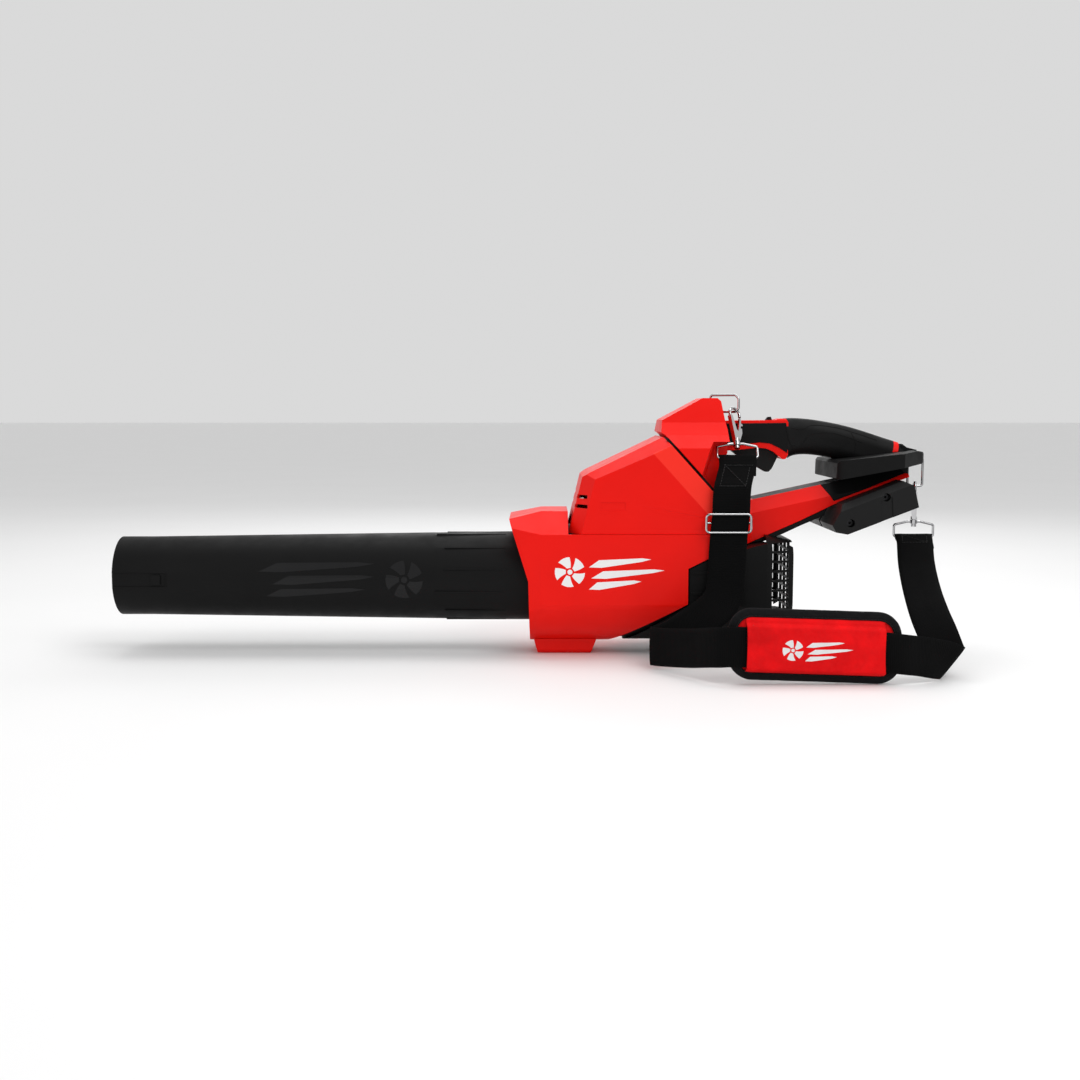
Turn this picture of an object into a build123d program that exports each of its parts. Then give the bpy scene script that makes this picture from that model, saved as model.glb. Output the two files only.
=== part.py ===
from build123d import *
import math
import os

os.makedirs("parts", exist_ok=True)

# ---------------------------------------------------------------- driving dimensions, mm
# Frame: +X runs from the nozzle to the handle's rear end, +Z is up, and z = 0 is the surface that the
# feet stand on. The origin is the middle of the front foot's underside, on the blower's centre plane.

axis_z = 99.0               # height of the nozzle and fan axis
wall = 3.5                  # casing wall

# nozzle
nozzle_tip_x = -580.0
nozzle_tip_r = 51.3
nozzle_zone = 42.0          # straight zone at the tip that accessories push over
nozzle_root_r = 58.0
nozzle_cone_end_x = -74.0
nozzle_root_x = -12.0
nozzle_wall = 2.6
nozzle_gap = 0.35           # clearance round the nozzle in the outlet duct
rib_start_x = -166.0
rib_width = 2.4
rib_rise = 1.1
rib_count = 12
catch_x = -524.0

# body casing
body_r = 84.5               # radius of the round underside
body_half = 80.0            # half width over the flat flanks
shoulder_z = 160.0          # seam between the body and the upper casing
body_top_z = 187.0
body_top_half = 42.0
collar_top_x = -71.0
collar_side_x = -46.5
body_rear_x = 187.0
mouth_r = 66.0              # hole in the collar's face
taper_x = -30.0             # the flanks draw in ahead of this
collar_half = 71.0
foot_half_x = 34.5
foot_half_y = 30.0

# upper casing and head
box_half = 77.0
box_slope = 0.245           # lean of the front face, dx per dz
roof_slope = 0.43           # rise of the roof's bevel line, dz per dx
seam_gap = 3.6              # dark joint between the upper casing and the head
head_half = 72.0
head_top_half = 40.0

# fan housing and intake
housing_inset = 1.0         # how far the housing lies below the red skin
housing_front_x = 58.0
housing_rear_x = 256.0
fan_bore_r = 74.0
fan_tip_gap = 1.5
blade_count = 9
vane_count = 7
motor_x = 96.0
pod_r = 34.0
shaft_r = 4.0
bearing_gap = 0.06
grille_rear_x = 292.0
grille_half_y = 66.0
grille_half_z = 58.0
slat_pitch = 12.3
slat_height = 2.6

# arm, handle and bumper
arm_half = 40.0
arm_top_half = 25.0
arm_slope = 0.217
arm_drop = 16.0             # height of the bevel between the arm's top and its side
handle_half = 19.0
trigger_half = 7.5
trigger_gap = 0.8
bumper_half = 75.0

# strap hardware
wire_r = 1.6
web_width = 47.0
web_thick = 2.2
hook_wire_r = 1.9


# ---------------------------------------------------------------- helpers
def save(piece, name):
    """Label a finished piece and write it."""
    piece.part.label = name
    export_step(piece.part, f"parts/{name}.step")


def save_halves(whole, name):
    """Write the left (-Y) and right (+Y) halves of a casing that is split on the centre plane."""
    for side, keep in (("left", Keep.TOP), ("right", Keep.BOTTOM)):
        with BuildPart() as half:
            add(whole)
            split(bisect_by=Plane.XZ, keep=keep)
        save(half, f"{name}_{side}")


def side_prism(points, half_width):
    """Solid with a side outline of (x, z) points, spread evenly across the centre plane."""
    with BuildPart() as prism:
        with BuildSketch(Plane.XZ):
            with BuildLine():
                Polyline(*points, close=True)
            make_face()
        extrude(amount=half_width, both=True)
    return prism.part


def plan_prism(points, low, high):
    """Solid with a plan outline of (x, y) points on the left, mirrored to the right."""
    outline = points + [(x, -y) for x, y in reversed(points)]
    with BuildPart() as prism:
        with BuildSketch(Plane.XY.offset(low)):
            with BuildLine():
                Polyline(*outline, close=True)
            make_face()
        extrude(amount=high - low)
    return prism.part


def axial(profile):
    """Ring or cone turned about the fan axis from (x, radius) points."""
    with BuildPart() as ring:
        with BuildSketch(Plane.XZ):
            with BuildLine():
                Polyline(*[(x, axis_z + r) for x, r in profile], close=True)
            make_face()
        revolve(axis=Axis((0, 0, axis_z), (1, 0, 0)))
    return ring.part


def tube_x(radius, start, end, z=axis_z, y=0.0):
    """Plain round bar along X."""
    with BuildPart() as bar:
        with BuildSketch(Plane.YZ.offset(start)):
            with Locations((y, z)):
                Circle(radius)
        extrude(amount=end - start)
    return bar.part


def block(low, high):
    """Plain box between two corners."""
    size = [b - a for a, b in zip(low, high)]
    middle = [(a + b) / 2 for a, b in zip(low, high)]
    with BuildPart() as box:
        with Locations(Location(tuple(middle))):
            Box(*size)
    return box.part


def side_screw(x, half, z, radius, depth):
    """Round plug let into the right flank of a casing."""
    with BuildPart() as plug:
        with BuildSketch(Plane.XZ.offset(-half)):
            with Locations((x, z)):
                Circle(radius)
        extrude(amount=depth)
    return plug.part


def wire_loop(points, radius, corner, plane=Plane.XZ):
    """Closed round-wire ring through corner points in a plane, with rounded corners."""
    with BuildPart() as ring:
        with BuildLine(plane) as path:
            line = FilletPolyline(*points, radius=corner, close=True)
        with BuildSketch(Plane(origin=line @ 0, z_dir=line % 0)):
            Circle(radius)
        sweep(path=path.line)
    return ring.part


# ---------------------------------------------------------------- body casing
flank_z = axis_z - math.sqrt(body_r**2 - body_half**2)
body_low_z = axis_z - body_r
arm_root = [(body_rear_x, 130.0), (236.0, 145.5)]
body_outline = [
    (collar_top_x, 178.0), (taper_x, body_top_z), (4.0, body_top_z), (4.0, shoulder_z),
    (body_rear_x, shoulder_z), arm_root[0], (179.0, 129.0), (155.0, 117.0), (155.0, 72.0),
    (52.0, body_low_z - 1), (-44.5, body_low_z - 1), (collar_side_x, 100.0),
]
cavity_outline = [
    (collar_top_x + 5, 174.6), (taper_x, body_top_z - wall), (body_rear_x + 9, body_top_z - wall),
    (body_rear_x + 9, 0.0), (-40.5, 0.0), (collar_side_x + 4, 100.0),
]


def body_block(inset, outline, top_z=body_top_z):
    """The body's cross-section run along X, drawn in towards the collar and cut to a side outline."""
    with BuildPart() as body:
        with BuildSketch(Plane.YZ.offset(-100)):
            with BuildLine():
                round_side = ThreePointArc(
                    (-body_half, flank_z), (0, axis_z - body_r), (body_half, flank_z)
                )
                Polyline(
                    round_side @ 1, (body_half, shoulder_z), (top_half_at(top_z), top_z),
                    (-top_half_at(top_z), top_z), (-body_half, shoulder_z), round_side @ 0,
                )
            make_face()
            if inset:
                offset(amount=-inset, kind=Kind.INTERSECTION)
        extrude(amount=400)
        add(side_prism(outline, 120), mode=Mode.INTERSECT)
        taper = [(-100, collar_half - 10 - inset), (taper_x, body_half - inset), (320, body_half - inset)]
        add(plan_prism(taper, 0, 200), mode=Mode.INTERSECT)
    return body.part


def top_half_at(z):
    """Half width of the sloping shoulder at a height."""
    share = (z - shoulder_z) / (body_top_z - shoulder_z)
    return body_half + (body_top_half - body_half) * share


screw_r = 3.6
screw_depth = wall - 0.4
body_screws = [(-32.0, body_half, 140.0), (60.0, body_half, 72.0), (135.0, body_half, 92.0)]
box_screws = [(60.0, box_half, 176.0), (150.0, box_half, 176.0), (100.0, box_half, 232.0)]
head_screws = [(152.0, head_half, 262.0)]

foot_x = (-41.0, -foot_half_x, foot_half_x, 44.0)
with BuildPart() as body_shell:
    add(body_block(0, body_outline))
    add(body_block(wall, cavity_outline), mode=Mode.SUBTRACT)
    add(tube_x(mouth_r, -100, 0), mode=Mode.SUBTRACT)
    for x, half, z in body_screws:
        add(side_screw(x, half, z, screw_r + 0.1, screw_depth), mode=Mode.SUBTRACT)
save_halves(body_shell.part, "body_shell")

with BuildPart() as front_foot:
    with BuildSketch(Plane.XZ):
        with BuildLine():
            Polyline(
                (foot_x[0], 24), (foot_x[1], 0), (foot_x[2], 0), (foot_x[3], 24), close=True
            )
        make_face()
    extrude(amount=foot_half_y, both=True)
    add(tube_x(body_r + 0.05, -80, 80), mode=Mode.SUBTRACT)
    low_edges = front_foot.edges().filter_by(Axis.X).group_by(Axis.Z)[0]
    chamfer(low_edges, length=4)
save(front_foot, "front_foot")

# ---------------------------------------------------------------- upper casing
box_front_x = 6.0
box_outline = [
    (box_front_x - 6, shoulder_z + 0.3), (16.7, 228.0), (30.0, 236.5), (124.0, 282.0),
    (188.0, 211.5), (200.0, 198.0), (200.0, 193.0), (187.0, 190.2), (187.0, shoulder_z + 0.3),
]


def box_block(inset):
    """Faceted upper casing: leaning front corners and a bevelled roof, cut to its side outline."""
    with BuildPart() as box:
        nose = box_front_x - 4 + inset
        plan = [(nose, 56 - inset), (nose + 16, box_half - inset), (320, box_half - inset)]
        outline = plan + [(x, -y) for x, y in reversed(plan)]
        with BuildSketch(Plane.XY.offset(shoulder_z - 10)):
            with BuildLine():
                Polyline(*outline, close=True)
            make_face()
        extrude(amount=160, dir=(box_slope, 0, 1))
        roof_z = 204.5 - inset
        with BuildSketch(Plane.YZ.offset(-20)):
            with BuildLine():
                Polyline(
                    (-box_half + inset, 0), (-box_half + inset, roof_z), (-40 + inset / 2, roof_z + 24),
                    (40 - inset / 2, roof_z + 24), (box_half - inset, roof_z), (box_half - inset, 0),
                    close=True,
                )
            make_face()
        extrude(amount=320, dir=(1, 0, roof_slope), mode=Mode.INTERSECT)
        side = box_outline
        if inset:
            side = [
                (box_front_x - 6 + inset, shoulder_z - 20), (16.7 + inset, 227.0), (30.0 + inset / 2, 233.0),
                (123.0, 278.0), (183.0, 211.0), (183.0, shoulder_z - 20),
            ]
        add(side_prism(side, 120), mode=Mode.INTERSECT)
    return box.part


# facet that runs along the joint, cut into each flank
seam_plane = Plane(origin=(156.0, 0, 246.75), x_dir=(0.741, 0, 0.672), z_dir=(0.672, 0, -0.741))
facet_width = 24.0
facet_cut = [(-facet_width, box_half), (6, box_half - 2.7), (6, 95), (-facet_width, 95)]
with BuildPart() as seam_facets:
    for sign in (-1, 1):
        with BuildSketch(seam_plane):
            with BuildLine():
                Polyline(*[(across, sign * out) for across, out in facet_cut], close=True)
            make_face()
        extrude(amount=70, both=True)

with BuildPart() as upper_shell:
    add(box_block(0))
    add(seam_facets.part, mode=Mode.SUBTRACT)
    add(box_block(wall), mode=Mode.SUBTRACT)
    # two cooling slots through each leaning front corner
    for slot_z in (192.5, 204.5):
        for sign in (-1, 1):
            slot = block((4, min(sign * 44, sign * 90), slot_z),
                         (28, max(sign * 44, sign * 90), slot_z + 4.6))
            add(slot, mode=Mode.SUBTRACT)
    # plain recessed plate on each flank
    for sign in (-1, 1):
        near, far = sorted((sign * (box_half - 0.9), sign * (box_half + 5)))
        add(block((45, near, 190), (76, far, 200.5)), mode=Mode.SUBTRACT)
    # room for the fan housing's barrel, which rises into the casing
    add(tube_x(body_r - wall - 0.5, -20, 190), mode=Mode.SUBTRACT)
    for x, half, z in box_screws:
        add(side_screw(x, half, z, screw_r + 0.1, screw_depth), mode=Mode.SUBTRACT)
save_halves(upper_shell.part, "upper_shell")

# ---------------------------------------------------------------- head
seam_dx = seam_gap * 0.74
seam_dz = seam_gap * 0.67
head_outline = [
    (124.0 + seam_dx, 282.0 + seam_dz), (122.0, 288.0), (124.0, 303.0), (176.0, 331.0), (195.0, 331.0),
    (199.5, 327.0), (206.5, 291.0), (208.0, 262.0), (201.0, 240.0), (200.0, 198.0 + seam_dz),
    (188.0 + seam_dx, 211.5 + seam_dz),
]


facet_half = 38.0
facet_low_z = 200.0
facet_rise = 76.0
facet_lean = 0.30
facet_stretch = math.hypot(1, facet_lean)


def head_block(inset):
    """Wedge-shaped head: a narrow top zone above a bevelled ledge, over wide flanks."""
    with BuildPart() as head:
        with BuildSketch(Plane.YZ.offset(100)):
            with BuildLine():
                half = [
                    (head_half - inset, 150), (head_half - inset, 268), (head_top_half + 14 - inset, 284),
                    (head_top_half - inset, 300), (head_top_half - 9 - inset, 345),
                ]
                Polyline(*half, *[(-y, z) for y, z in reversed(half)], close=True)
            make_face()
        extrude(amount=120)
        side = head_outline
        if inset:
            side = [
                (133.0, 281.0), (127.5, 289.0), (128.5, 301.0), (177.0, 327.3), (180.0, 327.3),
                (180.0, 262.0),
                (196.0, 262.0), (196.0, 212.0), (192.0, 216.0),
            ]
        add(side_prism(side, 120), mode=Mode.INTERSECT)
        # rear flank facet that leans in behind the wide part
        throat = facet_half - inset
        front = 161.5 - 1.5 * inset
        facet = [
            (front, 90), (front, head_half + 0.1), (170.5 - 1.2 * inset, throat), (240, throat), (240, 90),
        ]
        for sign in (-1, 1):
            with BuildSketch(Plane.XY.offset(facet_low_z)):
                with BuildLine():
                    Polyline(*[(x, sign * y) for x, y in facet], close=True)
                make_face()
            extrude(amount=facet_rise * facet_stretch, dir=(facet_lean, 0, 1), mode=Mode.SUBTRACT)
    return head.part


ring_pin_x = 190.0
ring_low_z = 313.5
ring_high_z = 335.0
ring_far_x = 228.5
with BuildPart() as head_shell:
    add(head_block(0))
    add(head_block(wall), mode=Mode.SUBTRACT)
    for x, half, z in head_screws:
        add(side_screw(x, half, z, screw_r + 0.1, screw_depth), mode=Mode.SUBTRACT)
    # bore for the front ring's captured leg, and the slot that its lower bar swings in
    with BuildSketch(Plane.XY.offset(ring_low_z)):
        with Locations((ring_pin_x, 0)):
            Circle(wire_r + 0.15)
    extrude(amount=40, mode=Mode.SUBTRACT)
    with BuildSketch(Plane.XY.offset(ring_low_z - wire_r - 1.0)):
        with BuildLine():
            Polyline(
                (ring_pin_x - 3, -4), (ring_pin_x - 3, 4), (ring_pin_x + 24, 30), (ring_pin_x + 24, -30),
                close=True,
            )
        make_face()
    extrude(amount=2 * wire_r + 4.4, mode=Mode.SUBTRACT)
save_halves(head_shell.part, "head_shell")

seam_top = (127.2, 278.5)
seam_low = (186.1, 213.6)
with BuildPart() as joint_gasket:
    strip = [seam_top, seam_low]
    strip += [(x + 0.96 * seam_dx, z + 0.96 * seam_dz) for x, z in reversed(strip)]
    add(side_prism(strip, head_half - 6))
save(joint_gasket, "joint_gasket")

fan_axis = Axis((0, 0, axis_z), (1, 0, 0))

# ---------------------------------------------------------------- air path: duct, housing, stator
with BuildPart() as outlet_duct:
    bore = nozzle_root_r + nozzle_gap
    outer = [(-66, bore + 5.5), (-20, bore + 5.5), (housing_front_x, 75.8)]
    inner = [(housing_front_x, 73.6), (nozzle_root_x + 4, 55.5), (nozzle_root_x + 1, 55.5),
             (nozzle_root_x + 1, bore), (-66, bore)]
    add(axial(outer + inner))
    # front edge set back behind the slanting collar
    ahead = [(-100, 200), (collar_top_x + 3, 178.0), (collar_side_x + 2.5, 100.0), (-41.5, 0), (-100, 0)]
    add(side_prism(ahead, 100), mode=Mode.SUBTRACT)
save(outlet_duct, "outlet_duct")

skin = housing_inset
exposed = [
    (54.5, 0.0), (157.0, 71.0), (157.0, 116.0), (180.0, 127.6), (188.0, 128.6), (237.0, 144.3),
    (housing_rear_x, 147.6), (housing_rear_x, 0.0),
]
plenum_x = body_rear_x - 4
with BuildPart() as plenum:
    with BuildSketch(Plane.YZ.offset(plenum_x)):
        with Locations((0, axis_z - 2)):
            RectangleRounded(2 * grille_half_y - 4, 2 * grille_half_z - 4, 22)
    extrude(amount=housing_rear_x - plenum_x + 5)
    under_roof = [(plenum_x - 1, 0.0), (plenum_x - 1, 124.0), (188.0, 124.6), (237.0, 140.3), (270.0, 145.0),
                  (270.0, 0.0)]
    add(side_prism(under_roof, 100), mode=Mode.INTERSECT)

with BuildPart() as fan_housing:
    # ribbed skin that shows behind the casing
    add(body_block(skin, exposed))
    flanks = [(20, body_half - skin), (226, body_half - skin), (housing_rear_x, grille_half_y + 4)]
    add(plan_prism(flanks, 0, 400), mode=Mode.INTERSECT)
    for rib_z in (61.0, 86.0, 112.0):
        for sign in (-1, 1):
            near, far = sorted((sign * (body_half - 6), sign * (body_half + 0.6)))
            add(block((159.0, near, rib_z - 1.6), (205.0, far, rib_z + 1.6)))
    # round barrel inside the casing
    with BuildSketch(Plane.YZ.offset(housing_front_x)):
        with Locations((0, axis_z)):
            Circle(body_r - wall - 0.8)
        with Locations((0, axis_z)):
            Rectangle(2 * (body_half - wall - 0.8), 200, mode=Mode.INTERSECT)
    extrude(amount=body_rear_x - housing_front_x)
    # fan bore, then the wide plenum behind it
    add(tube_x(fan_bore_r, 0, body_rear_x + 1), mode=Mode.SUBTRACT)
    add(plenum.part, mode=Mode.SUBTRACT)
save(fan_housing, "fan_housing")

with BuildPart() as rear_foot:
    with BuildSketch(Plane.XZ):
        with BuildLine():
            Polyline((206, 24), (212, 0), (244, 0), (250, 24), close=True)
        make_face()
    extrude(amount=foot_half_y, both=True)
    add(tube_x(body_r - skin + 0.05, 190, 260), mode=Mode.SUBTRACT)
save(rear_foot, "rear_foot")

vane_plane = Plane(origin=(motor_x, 0, axis_z), x_dir=(1, 0, 0), z_dir=(0, 0, 1))
with BuildPart() as vane:
    with BuildSketch(vane_plane.offset(pod_r - 2)):
        Rectangle(46, 2.6, rotation=14)
    extrude(amount=fan_bore_r - pod_r + 1.2)
with BuildPart() as stator_vanes:
    add(axial([(66, pod_r), (126, pod_r), (126, pod_r - 3), (66, pod_r - 3)]))
    for turn in range(vane_count):
        add(vane.part.rotate(fan_axis, turn * 360 / vane_count))
save(stator_vanes, "stator_vanes")

with BuildPart() as tail_cone:
    add(axial([(65.8, pod_r), (40, 24), (12, 6), (4, 0), (7, 0), (40, 21), (65.8, pod_r - 3)]))
save(tail_cone, "tail_cone")

bell_r = pod_r - 3.1
bearing_r = 11.0
bearing_starts = (67.0, 119.0)
with BuildPart() as motor_end_bells:
    for start in bearing_starts:
        add(axial([(start, bearing_r), (start, bell_r), (start + 5, bell_r), (start + 5, bearing_r)]))
save(motor_end_bells, "motor_end_bells")

with BuildPart() as motor_bearings:
    race = shaft_r + bearing_gap
    for start in bearing_starts:
        add(axial([(start, race), (start, bearing_r - 0.02), (start + 5, bearing_r - 0.02),
                   (start + 5, race)]))
save(motor_bearings, "motor_bearings")

with BuildPart() as motor_stator:
    add(axial([(75, 20.5), (75, bell_r), (117, bell_r), (117, 20.5)]))
    for turn in range(9):
        slot = block((70, -2, axis_z + 18), (120, 2, axis_z + 26))
        add(slot.rotate(fan_axis, turn * 40), mode=Mode.SUBTRACT)
save(motor_stator, "motor_stator")

# ---------------------------------------------------------------- spinning group
with BuildPart() as motor_shaft:
    add(tube_x(shaft_r, 66, 176))
save(motor_shaft, "motor_shaft")

with BuildPart() as motor_rotor:
    add(axial([(77, shaft_r), (77, 19.5), (115, 19.5), (115, shaft_r)]))
save(motor_rotor, "motor_rotor")

with BuildPart() as blade:
    for height, turn, chord in ((24, 52, 34), (48, 40, 36), (fan_bore_r - fan_tip_gap, 28, 38)):
        with BuildSketch(Plane(origin=(148, 0, axis_z + height), x_dir=(1, 0, 0), z_dir=(0, 0, 1))):
            Rectangle(chord * 0.72, 2.4, rotation=turn)
    loft()
with BuildPart() as impeller:
    add(axial([(134, shaft_r), (134, 33), (160, 31), (168, 24), (168, shaft_r)]))
    for turn in range(blade_count):
        add(blade.part.rotate(fan_axis, turn * 360 / blade_count))
    add(axial([(100, 0), (100, fan_bore_r - fan_tip_gap), (200, fan_bore_r - fan_tip_gap), (200, 0)]),
        mode=Mode.INTERSECT)
    add(tube_x(shaft_r, 100, 200), mode=Mode.SUBTRACT)
save(impeller, "impeller")

with BuildPart() as fan_nut:
    with BuildSketch(Plane.YZ.offset(168.2)):
        with Locations((0, axis_z)):
            RegularPolygon(8, 6)
            Circle(shaft_r, mode=Mode.SUBTRACT)
    extrude(amount=6)
save(fan_nut, "fan_nut")

with BuildPart() as intake_ring:
    lip_r = fan_bore_r - 0.1
    add(axial([(177, lip_r), (182.8, lip_r), (182.8, lip_r - 1), (177, lip_r - 3)]))
save(intake_ring, "intake_ring")

# ---------------------------------------------------------------- intake grille
rear_half_y = grille_half_y - 12
rear_half_z = grille_half_z - 8


def grille_cup(inset, front_x, rear_x):
    """Rounded cup that narrows towards the rear."""
    stations = (
        (front_x, grille_half_y - inset, grille_half_z - inset),
        (rear_x, rear_half_y - inset, rear_half_z - inset),
    )
    with BuildPart() as cup:
        for x, half_y, half_z in stations:
            with BuildSketch(Plane.YZ.offset(x)):
                with Locations((0, axis_z)):
                    RectangleRounded(2 * half_y, 2 * half_z, 22 - inset)
        loft()
    return cup.part


arm_underside = [(236.0, 143.0), (256.0, 147.4), (280.5, 156.6), (302.0, 167.0)]


def below_arm(gap):
    """Outline of everything above a line the given gap below the arm."""
    return [(236.0, 220.0)] + [(x, z - gap) for x, z in arm_underside] + [(302.0, 220.0)]


with BuildPart() as grille_windows:
    rows = 8
    for row in range(rows):
        low = axis_z + (row - rows / 2) * slat_pitch + slat_height / 2
        high = low + slat_pitch - slat_height
        add(block((263.5, -100, low), (grille_rear_x - 6.5, 100, high)))
        for bay in (-1.5, -0.5, 0.5, 1.5):
            middle = bay * 25.0
            add(block((grille_rear_x - 12, middle - 11.3, low), (grille_rear_x + 5, middle + 11.3, high)))
    # rim left whole along the arm
    add(side_prism(below_arm(4.0), 110), mode=Mode.SUBTRACT)

with BuildPart() as intake_grille:
    add(grille_cup(0, housing_rear_x + 0.2, grille_rear_x))
    add(grille_cup(3.4, housing_rear_x - 0.5, grille_rear_x - 3.4), mode=Mode.SUBTRACT)
    add(grille_windows.part, mode=Mode.SUBTRACT)
    # the arm's under cover closes the top
    add(side_prism(below_arm(0.0), arm_half + 0.5), mode=Mode.SUBTRACT)
save(intake_grille, "intake_grille")

# ---------------------------------------------------------------- nozzle
with BuildPart() as nozzle_tube:
    tip_end = nozzle_tip_x + nozzle_zone
    t = nozzle_wall
    outer = [(nozzle_tip_x, nozzle_tip_r), (tip_end, nozzle_tip_r), (nozzle_cone_end_x, nozzle_root_r),
             (nozzle_root_x, nozzle_root_r)]
    inner = [(nozzle_root_x, nozzle_root_r - t), (nozzle_cone_end_x, nozzle_root_r - t),
             (tip_end, nozzle_tip_r - t),
             (nozzle_tip_x, nozzle_tip_r - t)]
    add(axial(outer + inner))
    # lengthwise ribs that run up to the collar
    for rib in range(rib_count):
        start = rib_start_x + (12 if rib % 3 else 0)
        rib_bar = block(
            (start, -rib_width / 2, axis_z + nozzle_root_r - 2.5),
            (nozzle_cone_end_x - 2, rib_width / 2, axis_z + nozzle_root_r + 0.25),
        )
        add(rib_bar.rotate(fan_axis, 15 + rib * 360 / rib_count))
    # shallow keyways in the tip for accessories
    for sign in (-1, 1):
        near, far = sorted((sign * (nozzle_tip_r - 1.0), sign * (nozzle_tip_r + 5)))
        add(block((nozzle_tip_x - 5, near, axis_z - 9), (catch_x + 12, far, axis_z + 9)), mode=Mode.SUBTRACT)
save(nozzle_tube, "nozzle_tube")

with BuildPart() as nozzle_catches:
    for sign in (-1, 1):
        near, far = sorted((sign * (nozzle_tip_r - 1.0), sign * (nozzle_tip_r + 1.2)))
        add(block((catch_x - 6, near, axis_z - 6.5), (catch_x + 6, far, axis_z + 6.5)))
    chamfer(nozzle_catches.edges().filter_by(Axis.Y), length=1.2)
save(nozzle_catches, "nozzle_catches")

# ---------------------------------------------------------------- rear arm
arm_start_x = body_rear_x + 0.3
arm_knee_x = 240.0
cover_x = 331.0


def arm_top(x):
    """Height of the arm's top face."""
    return 188.8 + arm_slope * (x - body_rear_x)


def arm_section(x, side_half, top_half, bevel, inset):
    """Cross-section of the arm at x: flat top, bevels and upright flanks."""
    with BuildSketch(Plane.YZ.offset(x)) as section:
        with BuildLine():
            half = [(side_half, 90), (side_half, arm_top(x) - bevel), (top_half, arm_top(x))]
            Polyline(*half, *[(-y, z) for y, z in reversed(half)], close=True)
        make_face()
        if inset:
            offset(amount=-inset, kind=Kind.INTERSECTION)
    return section.sketch


def arm_block(inset, outline):
    """The arm, flared where it leaves the body, cut to a side outline."""
    with BuildPart() as arm:
        add(arm_section(arm_start_x, box_half - 1, 56, 24, inset))
        add(arm_section(arm_knee_x, arm_half, arm_top_half, arm_drop, inset))
        loft(ruled=True)
        add(arm_section(arm_knee_x, arm_half, arm_top_half, arm_drop, inset))
        extrude(amount=260, dir=(1, 0, arm_slope))
        add(side_prism(outline, 100), mode=Mode.INTERSECT)
    return arm.part


rail_top = [(345.0, 199.5), (437.0, 235.0)]
rail_low = [(441.5, 230.5), (345.0, 195.3)]
arm_outline = [
    (arm_start_x, 260.0), (cover_x, 260.0), (cover_x, arm_top(cover_x) - 1), *rail_top, (441.5, 234.5),
    *rail_low,
    (301.0, 174.0), (237.0, 145.8), (arm_start_x, 131.0),
]
arm_hollow = [
    (arm_start_x - 5, 260.0), (324.0, 260.0), (324.0, 216.0), (337.0, 196.5), (301.0, 178.5), (234.0, 149.5),
    (arm_start_x - 5, 134.0),
]
trim_half = arm_top_half - 1.0
trim_depth = 2.5
trim = [
    (244.0, arm_top(244) + 5), (cover_x + 2, arm_top(cover_x) + 5),
    (cover_x + 2, arm_top(cover_x) - trim_depth),
    (244.0, arm_top(244) - trim_depth),
]
with BuildPart() as arm_shell:
    add(arm_block(0, arm_outline))
    add(arm_block(wall, arm_hollow), mode=Mode.SUBTRACT)
    add(side_prism(trim, trim_half + 0.2), mode=Mode.SUBTRACT)
save_halves(arm_shell.part, "arm_shell")

cover_outline = [
    (cover_x + 0.3, 260.0), (cover_x + 0.3, arm_top(cover_x) - 1.1), (345.2, 199.9), (437.0, 235.4),
    (431.0, 243.0),
    (429.0, 260.0),
]
cover_hollow = [(342.0, 230.0), (352.0, 206.0), (405.0, 226.0), (405.0, 230.0)]
with BuildPart() as top_strip:
    add(arm_block(0, trim))
    add(side_prism(trim, trim_half), mode=Mode.INTERSECT)
with BuildPart() as arm_top_cover:
    add(arm_block(0, cover_outline))
    add(arm_block(4, cover_hollow), mode=Mode.SUBTRACT)
    add(top_strip.part)
save(arm_top_cover, "arm_top_cover")

under_outline = [
    (237.5, 145.5), (301.0, 173.5), (336.0, 190.0), (333.0, 181.0), (302.0, 167.7), (280.0, 157.3),
    (256.0, 148.0),
]
with BuildPart() as arm_under_cover:
    add(side_prism(under_outline, arm_half - 0.5))
save(arm_under_cover, "arm_under_cover")

# ---------------------------------------------------------------- rear bumper
bumper_outline = [
    (341.5, 230.0), (342.5, 249.0), (346.0, 252.3), (449.0, 264.0), (458.0, 262.5), (467.0, 259.0),
    (467.0, 250.0),
    (457.0, 247.6), (425.0, 243.4), (345.0, 228.6),
]
ring_bar_z = 253.5
ring_bar_x = (449.6, 468.9)
bumper_plan = [(341.0, bumper_half), (425.0, bumper_half), (458.0, 37.0), (466.5, 12.0)]
with BuildPart() as rear_bumper:
    add(side_prism(bumper_outline, 100))
    with BuildSketch(Plane.XY.offset(200)):
        with BuildLine():
            Polyline(*bumper_plan, *[(x, -y) for x, y in reversed(bumper_plan)], close=True)
        make_face()
        corners = vertices().sort_by(Axis.X)
        fillet(corners[:2], radius=16)
        fillet(vertices().sort_by(Axis.X)[-4:], radius=10)
    extrude(amount=100, mode=Mode.INTERSECT)
    # bore for the rear ring's bar, and the slot that its front leg swings in
    add(tube_x(wire_r + 0.15, 440, 480, z=ring_bar_z), mode=Mode.SUBTRACT)
    leg = ring_bar_x[0]
    add(block((leg - 2.6, -5, 230), (leg + 6, 5, ring_bar_z + 2.4)), mode=Mode.SUBTRACT)
save(rear_bumper, "rear_bumper")

with BuildPart() as arm_end_post:
    add(side_prism([(436.5, 236.2), (431.5, 242.6), (436.0, 247.2), (446.5, 247.2), (446.5, 229.0),
                    (442.0, 231.0),
                    (442.0, 235.0), (437.5, 235.5)], 14))
    add(rear_bumper.part, mode=Mode.SUBTRACT)
save(arm_end_post, "arm_end_post")

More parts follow.
